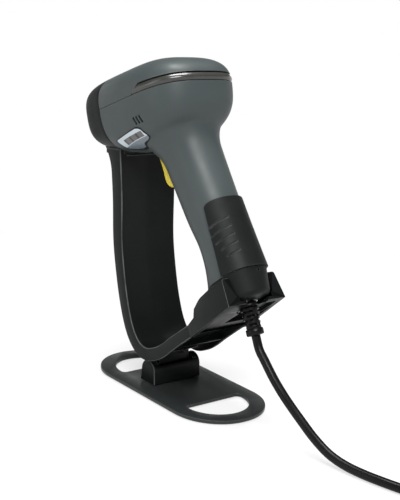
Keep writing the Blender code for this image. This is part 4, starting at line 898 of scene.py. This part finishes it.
def housing_shape(shape):
    planes = [
        (HEAD @ Vector((0, 0, -SEAM)), HEAD.to_3x3() @ Vector((0, 0, 1))),
        (HEAD @ Vector((0, BEZEL_SPLIT + SEAM, 0)), HEAD.to_3x3() @ Vector((0, -1, 0))),
        (HANDLE @ Vector((0, 0, FOOT_SEAM + SEAM)), HANDLE.to_3x3() @ Vector((0, 0, -1))),
    ]
    for point, normal in planes:
        trim(shape, point, normal)

    def bore(angle, z):
        return handle_point(angle, z, WALL)

    inside = [
        placed(head_solid(WALL, 64, 40), HEAD),
        placed(tube(bore, FOOT_SEAM - 6 * MM, HANDLE_TOP + WALL, 24, 48), HANDLE),
    ]
    shape = carve(shape, *inside, rounded_mouth(), placed(sound_slots(), HEAD))
    rims = [edge for edge in sharp_edges(shape, 50) if on_plane(edge, planes)]
    return rounded(shape, rims, 0.3 * MM, 2)


def on_plane(edge, planes):
    """True for an edge that lies in one of the planes."""
    for point, normal in planes:
        if all(abs((vert.co - point).dot(normal)) < 0.002 * MM for vert in edge.verts):
            return True
    return False


def rounded_mouth():
    """The opening that the trigger moves in."""
    shape = box((-9.7, -60, 119.8), (9.7, -12.5, 157.4))
    rounded(shape, edges_along(shape, "y"), 2 * MM)
    return placed(shape, HANDLE)


def sound_slots():
    """Three slanted slots in the flank, in front of the buzzer."""
    lean = Matrix.Rotation(math.radians(15.8), 4, "X")
    shapes = []
    for i in range(3):
        slot = box((12, -1.0, -2.9), (45, 1.0, 2.9))
        rounded(slot, edges_along(slot, "x"), 0.4 * MM, 2)
        shapes.append(placed(slot, Matrix.Translation((0, (-29.15 + 3.2 * i) * MM, -17 * MM)) @ lean))
    return joined(*shapes)


def cover_shape():
    """The upper half of the head, with a rebate that the strip lies in."""
    shape = head_solid()
    trim(shape, (0, 0, SEAM), (0, 0, -1), LIP)
    trim(shape, (0, BEZEL_SPLIT + SEAM, 0), (0, -1, 0), LIP)
    room = slab([(STRIP_TIP, -1 * MM), (STRIP_TIP + STRIP_SLANT, STRIP_HEIGHT), (40 * MM, STRIP_HEIGHT),
                 (40 * MM, -1 * MM)], -60 * MM, 60 * MM)
    inner = trim(head_solid(2.6 * MM, *COARSE), (0, 0, STRIP_HEIGHT), (0, 0, 1))
    return placed(carve(shape, carve(room, inner)), HEAD)


def bezel_shape():
    """The nose, with a flared mouth and a pocket behind it for the window."""
    shape = head_solid(columns=160)
    trim(shape, (0, BEZEL_SPLIT - SEAM, 0), (0, 1, 0), LIP)
    half, half_high, middle, spread = 24, 14.5, -1.5 * MM, 6
    mouth = box((-half, -83, -16), (half, -60, 13))
    flare = box((-half, -95, -16), (half, -82.9, 13))
    for vert in flare.verts:
        if vert.co.y < -90 * MM:
            vert.co.x *= 1 + spread / half
            vert.co.z = middle + (vert.co.z - middle) * (1 + spread / half_high)
    pocket = box((-26.8, -83.2, -18.8), (26.8, -60, 15.8))
    return placed(carve(shape, mouth, flare, pocket), HEAD)


def strip_point(side, share):
    """The strip's skin, which runs round the back of the head and bulges a little."""
    v = SEAM + 0.1 * MM + share * (STRIP_HEIGHT - 1.0 * MM)
    tip = STRIP_TIP + 0.4 * MM + STRIP_SLANT * share
    first = math.asin(((tip - HEAD_MID) / HEAD_BACK) ** (BACK_SQUARE / 2))
    bulge = 0.9 * MM * math.sin(math.pi * share)
    return head_at(math.pi / 2 + side * (math.pi / 2 - first), v, 0.6 * MM - bulge)


def groove(at, i):
    """How deep one of the grip's slanted finger grooves is at a point of the handle."""
    spine = (6.3 if at.x > 0 else 11) * MM
    start = (6.2 + 1.8 * i) * MM
    if abs(at.x) < spine or at.y < start:
        return 0.0
    line = (79.2 - 5.85 * i) * MM + (at.y - HANDLE_BACK) * GROOVE_SLOPE
    ends = min(1.0, (abs(at.x) - spine) / (1.2 * MM)) * min(1.0, (at.y - start) / (0.9 * MM))
    return GROOVE_DEPTH * ends * math.exp(-((at.z - line) / GROOVE_HALF) ** 4)


def grip_point(side, share):
    """The grip's skin, a little proud of the handle."""
    top = GRIP_TOP + 4 * MM * (1 - abs(side) ** 6) ** 0.5
    z = GRIP_LOW + share * (top - GRIP_LOW)
    edge = (6 + 4.4 * min(1.0, (z - GRIP_LOW) / (45 * MM))) * MM
    back = handle_sizes(z)[1]
    first = math.asin((edge / back) ** (1 / HANDLE_ROUND))
    at = handle_point(math.pi / 2 - side * (math.pi / 2 - first), z)
    sink = sum(groove(at, i) for i in range(GROOVES))
    out = Vector((at.x, at.y, 0)).normalized()
    return at + out * (GRIP_PROUD - sink)


def label_shape(shell, grow=0.0, lift=0.22 * MM):
    """A thin film laid on the flank's skin."""
    outline = [(-59.5, -24.2), (-32, -21.7), (-28, -22.9), (-25.4, -28.9), (-28, -30.2), (-35.5, -31.4),
               (-37.5, -33.6), (-47, -33), (-57.4, -30.4)]
    middle = sum((Vector(point) for point in outline), Vector((0, 0))) / len(outline)
    outline = [Vector(point) + (Vector(point) - middle).normalized() * grow for point in outline]
    shape = bmesh.new()
    shape.faces.new([shape.verts.new((0, u * MM, v * MM)) for u, v in outline])
    bmesh.ops.bevel(shape, geom=shape.verts[:], offset=1.3 * MM, offset_type="OFFSET", affect="VERTICES",
                    segments=4, profile=0.5, material=-1)
    for i in range(1, 20):
        sliced(shape, (0, (-60 + 1.8 * i) * MM, 0), (0, 1, 0))
    for i in range(1, 12):
        sliced(shape, (0, 0, (-34 + 1.1 * i) * MM), (0, 0, 1))
    inwards = HEAD.to_3x3() @ Vector((-1, 0, 0))
    for vert in shape.verts:
        hit = shell.ray_cast(HEAD @ Vector((60 * MM, vert.co.y, vert.co.z)), inwards)[0]
        vert.co.x = (HEAD.inverted() @ hit).x + lift
    face_out(shape)
    if shape.faces[:][0].normal.x < 0:
        bmesh.ops.reverse_faces(shape, faces=shape.faces)
    bmesh.ops.solidify(shape, geom=shape.faces[:], thickness=0.5 * MM)
    return placed(shape, HEAD)


def foot_shape():
    """The foot: straight sides that draw in to a flat end with a soft edge, bored for the lead's plug."""
    soft, end = 3 * MM, FOOT_END + 0.8 * MM

    def place(angle, z):
        left = max(0.0, soft - (z - end))
        return foot_point(angle, z, soft - math.sqrt(soft * soft - left * left) - FOOT_PROUD)

    shape = tube(place, end, FOOT_SEAM - SEAM, 60, 80)
    top = [edge for edge in sharp_edges(shape, 40) if edge.verts[0].co.z > FOOT_SEAM - 1 * MM]
    rounded(shape, top, 0.25 * MM, 2)
    hole = box((-6.4, -4.7, 10), (6.4, 4.7, 60))
    pin = rod(PIN_HOLE, (PIN_X, 12 * MM, PIN_Z), (PIN_X, 30 * MM, PIN_Z), 20)
    return placed(carve(shape, hole, pin), HANDLE)


def in_pin_hole(at):
    """True for a place on the wall or the floor of the foot's pin hole."""
    return math.hypot(at.x - PIN_X, at.z - PIN_Z) < 0.99 * PIN_HOLE and at.y > 0


def trigger_shape():
    """The pull: a curved finger face, round all over, on a pin at the top. Its rib meets the switch."""
    front = smooth_line([(0, y, z) for y, z in [
        (-16, 156), (-22.5, 156), (-25.8, 152), (-25.4, 144), (-25.9, 136.4), (-27.0, 130.6), (-26.7, 126.4),
        (-24.6, 123.0), (-21.2, 121.2), (-18.2, 121.2)]], 1.2)
    outline = [(point.y, point.z) for point in front]
    outline += [(-17, 126), (-17, 140), (-12.8, 147), (-12.8, 153)]
    shape = slab([(y * MM, z * MM) for y, z in outline], -9 * MM, 9 * MM)
    sides = [edge for edge in sharp_edges(shape, 60)
             if abs(edge.verts[0].co.x - edge.verts[1].co.x) < 0.1 * MM]
    rounded(shape, sides, 1.6 * MM, 5)
    shape = carve(shape, box((-2, -19.9, 126), (2, -13.9, 130)), way="UNION")
    pin = rod(1.5 * MM, (-20 * MM, -16 * MM, 150 * MM), (20 * MM, -16 * MM, 150 * MM), 32)
    return placed(carve(shape, pin), HANDLE)


def build_scanner():
    form = housing_skin()
    shell = BVHTree.FromBMesh(form)
    piece("flank_label", label_shape(shell), "label_silver", "scanner", "side_label")
    # A dark sheet a little larger than the label, showing round it as painted shadow.
    piece("label_seat", label_shape(shell, 1.5, 0.1 * MM), "inner_black", "scanner")
    piece("scanner_housing", housing_shape(form), "housing_slate", "scanner", "main_housing", sharp=42)
    piece("scanner_cover", cover_shape(), "housing_slate", "scanner", "top_cover", sharp=42)
    piece("scanner_bezel", bezel_shape(), "bezel_dark", "scanner", "nose_bezel", sharp=42)
    strip = skin(strip_point, 140, 10, -1.8 * MM)
    rounded(strip, sharp_edges(strip, 50), 0.4 * MM, 2)
    piece("light_strip", placed(strip, HEAD), "strip_smoke", "scanner", "status_strip")
    grip = skin(grip_point, 150, 170, -1.3 * MM)
    piece("rubber_grip", placed(grip, HANDLE), "grip_rubber", "scanner", "back_grip", sharp=60)
    foot = piece("handle_foot", foot_shape(), "grip_rubber", "scanner", "foot_cap")
    # The walls of the pin hole are painted black as shade.
    paint_shade_inside(foot, in_pin_hole)
    piece("finger_trigger", trigger_shape(), "trigger_yellow", "trigger", "trigger")


# Stand: base plate, pad, hinge and arm


def stadium(inset, low, high):
    """The plate's outline, drawn in by an inset, between two heights."""
    shape = bmesh.new()
    turn = Matrix.Rotation(math.pi / 96, 4, "Z")
    bmesh.ops.create_circle(shape, cap_ends=True, segments=96, radius=PLATE_ROUND - inset, matrix=turn)
    for vert in shape.verts:
        vert.co.y += math.copysign(PLATE_STRAIGHT, vert.co.y)
        vert.co.z = low
    made = bmesh.ops.extrude_face_region(shape, geom=shape.faces[:])
    bmesh.ops.translate(shape, vec=(0, 0, high - low), verts=new_verts(made))
    return face_out(shape)


def half_moon(side, grow):
    """A slot's solid, whose straight side faces the hinge."""
    shape = bmesh.new()
    radius = SLOT_ROUND + grow
    bmesh.ops.create_cone(shape, cap_ends=True, segments=96, radius1=radius, radius2=radius, depth=20 * MM)
    for vert in shape.verts:
        if vert.co.y < -0.01 * MM:
            vert.co.y = -3 * MM - grow
            vert.co.x = math.copysign(radius, vert.co.x)
    bmesh.ops.remove_doubles(shape, verts=shape.verts, dist=0.01 * MM)
    corners = [edge for edge in edges_along(shape, "z") if edge.verts[0].co.y < -1 * MM]
    rounded(shape, corners, 4 * MM, 8)
    bmesh.ops.translate(shape, vec=(0, PLATE_STRAIGHT, 0), verts=shape.verts)
    if side < 0:
        bmesh.ops.scale(shape, vec=(1, -1, 1), verts=shape.verts)
        face_out(shape)
    return shape


def base_shape(inset, low, high, width):
    shape = carve(stadium(inset, low, high), half_moon(1, inset), half_moon(-1, inset))
    bmesh.ops.dissolve_limit(shape, angle_limit=math.radians(0.5), verts=shape.verts, edges=shape.edges)
    return rounded(shape, sharp_edges(shape, 60), width)


def smooth_line(points, step):
    """Points about a step apart on a smooth curve through the given ones."""
    knots = [Vector(point) for point in points]
    reach = [0.0]
    for before, after in zip(knots, knots[1:]):
        reach.append(reach[-1] + (after - before).length)
    slopes = []
    last = len(knots) - 1
    for i in range(len(knots)):
        low, high = max(i - 1, 0), min(i + 1, last)
        slopes.append((knots[high] - knots[low]) / (reach[high] - reach[low]))
    line = []
    for i in range(last):
        span = reach[i + 1] - reach[i]
        count = max(1, round(span / step))
        for j in range(count):
            t = j / count
            line.append(knots[i] * (1 + 2 * t) * (1 - t) ** 2 + knots[i + 1] * t * t * (3 - 2 * t)
                        + slopes[i] * span * t * (1 - t) ** 2 - slopes[i + 1] * span * t * t * (1 - t))
    line.append(knots[last])
    return line


ARM_KNOTS = [Vector((0, y * MM, z * MM)) for y, z in
             [(-52.4, 178), (-50.9, 157), (-48.6, 131), (-46.6, 100), (-41.4, 75), (-35.3, 55), (-28.4, 40.4),
              (-20.4, 32.2), (-12, 30.2), (-2, 33.5), (6, 38.4)]]
ARM_KNOTS.append(HANDLE @ Vector((0, -62 * MM, 27.5 * MM)))
ARM_KNOTS.append(HANDLE @ Vector((0, -35 * MM, 27.5 * MM)))
ARM_LINE = smooth_line(ARM_KNOTS, 0.5 * MM)
ARM_REACH = sum((after - before).length for before, after in zip(ARM_LINE, ARM_LINE[1:]))


def arm_point(share):
    """A point of the inner line, and the direction away from the handle there."""
    last = len(ARM_LINE) - 1
    place = share * last
    i = min(int(place), last - 1)
    tangent = (ARM_LINE[min(i + 9, last)] - ARM_LINE[max(i - 8, 0)]).normalized()
    return ARM_LINE[i].lerp(ARM_LINE[i + 1], place - i), Vector((0, tangent.z, -tangent.y))


def channel_depth(share):
    """The side walls are deepest at the top, where they flare out under the nose."""
    lip = min(12.0, 3 * (max(0.0, 0.13 - share) / 0.055) ** 2)
    return (13 - 4.5 * share + lip) * MM


def arm_spread(share):
    """How much wider the arm is towards its top."""
    return 1 + ARM_SPREAD / ARM_HALF * max(0.0, 1 - share / 0.3) ** 2


def corner(x, y, start, radius, steps=3):
    """A quarter round about a centre, as (x, depth) points."""
    points = []
    for i in range(steps + 1):
        angle = math.radians(start + 90 * i / steps)
        points.append((x + radius * math.cos(angle), y + radius * math.sin(angle)))
    return points


def channel_section(share):
    """The arm's section as (x, depth), from the inner face's middle round the right side and back."""
    deep = channel_depth(share)
    half, wall = ARM_HALF, ARM_WALL
    soft, tip, fillet = 0.9 * MM, 0.7 * MM, 1.2 * MM
    side = [(half * i / 9, 0.0) for i in range(9)]
    side += corner(half - soft, soft, -90, soft)
    side += corner(half - tip, deep - tip, 0, tip)
    side += corner(half - wall + tip, deep - tip, 90, tip)
    side += corner(half - wall - fillet, ARM_WEB + fillet, -90, fillet)[::-1]
    side += [((half - wall - fillet) * i / 9, ARM_WEB) for i in range(8, 0, -1)]
    side += [(0.0, ARM_WEB)]
    return side + [(-x, y) for x, y in side[-2:0:-1]]


def arm_channel():
    count = len(channel_section(0))
    stations = 150
    order = {}

    def place(angle, share):
        index = math.floor(angle / (2 * math.pi) * count + 0.25) % count
        key = round(share * stations)
        if key not in order:
            order[key] = channel_section(share)
        x, deep = order[key][index]
        fade = min(1.0, (1 - share) / 0.2)
        shift = ARM_CREASE * fade * max(0.0, 1 - abs(x) / ARM_HALF) if deep <= ARM_WEB + 1.3 * MM else 0.0
        at, away = arm_point(share)
        return Vector((x * arm_spread(share), 0, 0)) + at + away * (deep + shift)

    return tube(place, 0.0, 1.0, stations, count)


def arm_rib(share, thick):
    """A cross rib between the channel's sides."""
    at, away = arm_point(share)
    along = Vector((0, away.z, -away.y))
    low, high = ARM_CREASE + 0.3 * MM, channel_depth(share) - 1 * MM
    shape = cube((-ARM_HALF + 1 * MM, -thick / 2, low), (ARM_HALF - 1 * MM, thick / 2, high))
    turn = Matrix((Vector((1, 0, 0)), along, away)).transposed().to_4x4()
    if turn.determinant() < 0:
        turn = Matrix((Vector((-1, 0, 0)), along, away)).transposed().to_4x4()
    return placed(shape, Matrix.Translation(at) @ turn)


def cup_block():
    """The block under the foot: stepped cheeks that flare a little downwards, hollow in front and below."""
    outline = [(10, 21.6), (10, 40.5), (-6, 40.5), (-17, 39.2), (-26.7, 34.5), (-29.6, 29.4), (-38, 27),
               (-38, 18.5)]
    shape = slab([(n * MM, z * MM) for n, z in outline], -CUP_HALF * MM, CUP_HALF * MM)
    for vert in shape.verts:
        vert.co.x *= 1 + 0.045 * (29 * MM - vert.co.z) / (10 * MM)
    ears = [edge for edge in edges_along(shape, "y") if all(vert.co.z > 39 * MM for vert in edge.verts)]
    rounded(shape, ears, 1.6 * MM, 6)
    rounded(shape, sharp_edges(shape, 24), 0.6 * MM)
    pocket = box((-CUP_INSIDE, -60, 27), (CUP_INSIDE, -28, 90))
    under = box((-CUP_INSIDE, -60, -30), (CUP_INSIDE, 7, 20.9))
    hollow = box((-19.5, -26, -30), (3, 5.5, 23))
    opening = box((-CUP_OPENING, 0, CUP_FLOOR), (CUP_OPENING, 40, 60))
    for vert in opening.verts:
        vert.co.x *= 1 + 0.26 * (vert.co.z - CUP_FLOOR * MM) / (32.7 * MM)
    return carve(shape, pocket, under, hollow, opening)


def arm_shape():
    """The channel with its ribs and the cup, cut to clear the foot, the lead's plug and the head."""
    shape = arm_channel()
    rounded(shape, sharp_edges(shape, 60), 0.7 * MM, 2)
    ribs = [arm_rib(8 * MM / ARM_REACH, 16 * MM)]
    ribs += [arm_rib(share + 1 * MM / ARM_REACH, 2 * MM) for share in (0.262, 0.487, 0.617, 0.862)]
    shape = carve(shape, *ribs, placed(cup_block(), HANDLE), way="UNION")
    seat = tube(lambda a, z: foot_point(a, z, -0.9 * MM), 23.9 * MM, 46 * MM, 24, 80)
    notch = rod(NOTCH * MM, (0, 0, 0), (0, 0, 50 * MM), 64)
    way = box((-NOTCH, 0, 0), (NOTCH, 50, 50))
    tools = [placed(tool, HANDLE) for tool in (seat, notch, way)]
    shape = carve(shape, *tools, placed(head_solid(-0.3 * MM, *COARSE), HEAD))
    front = box((-20.3, -54, 138), (20.3, -30, 190))
    return carve(shape, carve(placed(head_solid(-2.3 * MM, *COARSE), HEAD), front, way="INTERSECT"))


def in_seat(at):
    """True for a place on the walls of the cup's seat."""
    half, back, front = handle_sizes(FOOT_SEAM)
    ring = math.hypot(at.x / half, at.y / (back if at.y > 0 else front))
    return 23 * MM < at.z < 46 * MM and ring < 1.12


def bracket_shape():
    """Two cheeks with round tops on a foot, and a gap between them for the barrel."""
    outline = [(-8.6, -9), (8.6, -9)]
    for i in range(25):
        angle = math.radians(180 * i / 24)
        outline.append((BRACKET_ROUND * math.cos(angle), BRACKET_ROUND * math.sin(angle)))
    shape = slab([(y * MM, z * MM) for y, z in outline], -BRACKET_HALF * MM, BRACKET_HALF * MM)
    rounded(shape, sharp_edges(shape, 30), 0.7 * MM)
    gap = box((-HINGE_GAP, -30, 4.2), (HINGE_GAP, 30, 30))
    mouth = box((-HINGE_GAP, -5.5, 0), (HINGE_GAP, 5.5, 30))
    room = rod(5.5 * MM, (-HINGE_GAP * MM, 0, 0), (HINGE_GAP * MM, 0, 0), 64)
    return placed(carve(shape, gap, mouth, room), HINGE)


def knuckle_shape():
    """A barrel on the pin, and a leaf that follows the arm's bend."""
    lowest = min(range(len(ARM_LINE)), key=lambda i: ARM_LINE[i].z)
    bend = lowest / (len(ARM_LINE) - 1)
    half = LEAF_HALF * MM
    barrel = rod(5 * MM, (-half, 0, 0), (half, 0, 0), 64)
    rounded(barrel, sharp_edges(barrel, 60), 0.4 * MM)
    neck = cube((-13.4 * MM, -3.2 * MM, 0), (13.4 * MM, 3.2 * MM, ARM_LINE[lowest].z - HINGE_Z - 4.6 * MM))
    rounded(neck, edges_along(neck, "z"), 0.6 * MM)
    leaf = cube((-half, 0, 0), (half, 1, 1))
    for i in range(1, 24):
        sliced(leaf, (0, i / 24, 0), (0, 1, 0))
    sliced(leaf, (0, 0, 0), (1, 0, 0))
    for vert in leaf.verts:
        at, away = arm_point(bend + (vert.co.y - 0.5) * 26 * MM / ARM_REACH)
        crease = ARM_CREASE * (1 - abs(vert.co.x) / ARM_HALF)
        vert.co = Vector((vert.co.x, 0, 0)) + at + away * (ARM_WEB + 0.3 * MM + 2 * MM * vert.co.z + crease)
    face_out(leaf)
    rounded(leaf, sharp_edges(leaf, 60), 0.4 * MM)
    hinge = placed(carve(barrel, neck, way="UNION"), HINGE)
    return carve(hinge, leaf, way="UNION")


def build_stand():
    piece("steel_base", base_shape(0.0, PAD_TOP, PLATE_TOP, 0.6 * MM), "plate_black", "base", "base_plate")
    piece("rubber_pad", base_shape(2 * MM, 0.0, PAD_TOP, 0.2 * MM), "pad_rubber", "base", "base_pad")
    piece("hinge_cheeks", bracket_shape(), "stand_plastic", "base", "hinge_bracket")
    piece("hinge_leaf", knuckle_shape(), "stand_plastic", "arm", "hinge_knuckle")
    arm = piece("curved_arm", arm_shape(), "stand_plastic", "arm", "stand_arm", sharp=32)
    # The walls of the cup's seat are painted black as shade.
    paint_shade_inside(arm, in_seat)


# Lead: strain relief, cord, coil, tie and plug


def boot_shape():
    """The strain relief: a taper with bending windows on alternate sides, and a square-shouldered collar."""
    end = -15.6
    profile = [(0, 2.7), (4.4, 2.7), (5.6, 1.6), (6.6, 0.4), (6.3, -3), (5.6, -8), (5.0, end + 0.4),
               (4.9, end), (5.5, end - 0.1), (5.9, end - 0.6), (5.9, end - 3.8), (5.5, end - 4.4),
               (3.1, end - 4.7), (0, end - 4.7)]
    shape = turned([(radius * MM, z * MM) for radius, z in profile])
    windows = []
    for i in range(5):
        z = -1.6 - 2.9 * i
        for side in (-1, 1):
            low, high = sorted((side * 1.7, side * 9))
            if i % 2:
                windows.append(box((low, -9, z - 0.75), (high, 9, z + 0.75)))
            else:
                windows.append(box((-9, low, z - 0.75), (9, high, z + 0.75)))
    shape = carve(shape, joined(*windows))
    core = rod(3.5 * MM, (0, 0, 1 * MM), (0, 0, (end - 1) * MM), 32)
    shape = carve(shape, core, way="UNION")
    rims = [edge for edge in sharp_edges(shape, 60) if edge.is_convex]
    rounded(shape, rims, 0.25 * MM, 2)
    return placed(shape, BOOT)


def cord_points():
    """The cord's middle line, in order: down from the boot, along the table, round the coil, to the plug."""
    exit_at = Vector((0, 78.52, 58.69))
    way = Vector((0, 0.4587, -0.8886))
    route = [exit_at - way * 3.6, exit_at + way * 6, (0, 86.9, 47.9), (0, 97.5, 37.9), (0, 110, 28.6),
             (0, 124, 20), (0, 138, 12.2), (-0.6, 152, 6.6), (-2.4, 168, 4.1), (-7, 192, 3.6),
             (-15.5, 222, 3.7), (-26.5, 252, 4.1), (-32.45, 272.7, 4.3), (-32.45, 278.7, 4.3)]
    points = smooth_line(route, 3)
    turns, tightest, pitch, low = 6.5, 26, 6.6, 4.3
    middle_x, middle_y = 15, 285
    steps = round(turns * 60)
    for i in range(1, steps):
        t = turns * i / steps
        reach = tightest + pitch * abs(t - turns / 2)
        angle = math.pi - 2 * math.pi * t
        climb = min(1.0, max(0.0, (t - 3) / 0.5))
        z = low + pitch * climb * climb * (3 - 2 * climb)
        points.append(Vector((middle_x + reach * math.cos(angle), middle_y + reach * math.sin(angle), z)))
    tail = [(62.45, 285, 10.9), (62.45, 279, 10.9), (62.45, 272.7, 10.9), (62.6, 262, 8.4), (63.2, 246, 5.6),
            (63.4, 232, 5)]
    points += smooth_line(tail, 3)
    return [Vector(point) * MM for point in points]


def cord_shape(points, sides):
    data = bpy.data.curves.new("cord_line", "CURVE")
    data.dimensions = "3D"
    data.bevel_depth = CORD_RADIUS
    data.bevel_resolution = sides
    data.use_fill_caps = True
    line = data.splines.new("POLY")
    line.points.add(len(points) - 1)
    for place, point in zip(line.points, points):
        place.co = (*point, 1)
    return taken(add_object("cord_line", data))


def tie_shape():
    """A strap round the bundle on its far side."""
    shape = bmesh.new()
    bmesh.ops.create_circle(shape, segments=48, radius=1)
    middle_y, middle_z, half_y, half_z = 321.75 * MM, 7.6 * MM, 14.4 * MM, 7.0 * MM
    for vert in shape.verts:
        angle = math.atan2(vert.co.y, vert.co.x)
        vert.co = Vector((12 * MM, middle_y + half_y * powered(math.cos(angle), 0.45),
                          middle_z + half_z * powered(math.sin(angle), 0.62)))
    made = bmesh.ops.extrude_edge_only(shape, edges=shape.edges[:])
    bmesh.ops.translate(shape, vec=(6 * MM, 0, 0), verts=new_verts(made))
    face_out(shape)
    bmesh.ops.solidify(shape, geom=shape.faces[:], thickness=0.5 * MM)
    return shape


def plug_shape():
    """The plug's grip, tapered to the cord, with finger ridges."""
    shape = cube((-6 * MM, PLUG_START, -4.2 * MM), (6 * MM, PLUG_START + PLUG_LENGTH, 4.2 * MM))
    for i in range(1, 9):
        sliced(shape, (0, PLUG_START + PLUG_LENGTH * i / 9, 0), (0, 1, 0))
    for vert in shape.verts:
        share = (vert.co.y - PLUG_START) / PLUG_LENGTH
        pull = 1 - 0.3 * max(0.0, (share - 0.6) / 0.4) ** 1.5
        vert.co.x *= pull
        vert.co.z *= pull
    rounded(shape, sharp_edges(shape, 40), 1.3 * MM)
    grooves = []
    for i in range(4):
        y = 201 + 2.6 * i
        for side in (-1, 1):
            low, high = sorted((side * 5.5, side * 9))
            grooves.append(box((low, y, -3), (high, y + 1.1, 3)))
    return placed(carve(shape, joined(*grooves)), PLUG)


def shell_shape():
    """The plug's steel shell, open at its end, with two latch holes."""
    shape = box((-6, 180.4, -2.2), (6, 195.6, 2.2))
    rounded(shape, edges_along(shape, "y"), 0.5 * MM)
    hollow = box((-5.6, 170, -0.1), (5.6, 190, 1.8))
    holes = [box((x - 1.1, 184, 1), (x + 1.1, 186.2, 4)) for x in (-2.9, 2.9)]
    return placed(carve(shape, hollow, *holes), PLUG)


def build_lead():
    points = cord_points()
    piece("strain_boot", boot_shape(), "cord_rubber", "arm", "strain_relief", sharp=50)
    cord = piece("lead_cord", cord_shape(points, 6), "cord_rubber", None, "cable", "cable_coil", "cable_tail",
                 sharp=60)
    tie = piece("bundle_strap", tie_shape(), "tie_black", "base", "cable_tie")
    grip = piece("plug_grip", plug_shape(), "cord_rubber", "base", "usb_overmould")
    shell = piece("plug_shell", shell_shape(), "steel", "base", "usb_shell")
    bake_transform(cord)


def dress_carried_nodes():
    """Every node that stays from the solids gets its own finish."""
    for part in frame["record"]["subparts"]:
        item = frame["nodes"][part["node"]]
        item.data.materials.clear()
        dark = part["node"].startswith("leaf_screw")
        item.data.materials.append(FINISH["screw_black" if dark else part["material_slot"]])


right, back = place_camera()
light_room(right, back)
lay_floor()
dress_carried_nodes()
build_lead()
build_stand()
build_scanner()
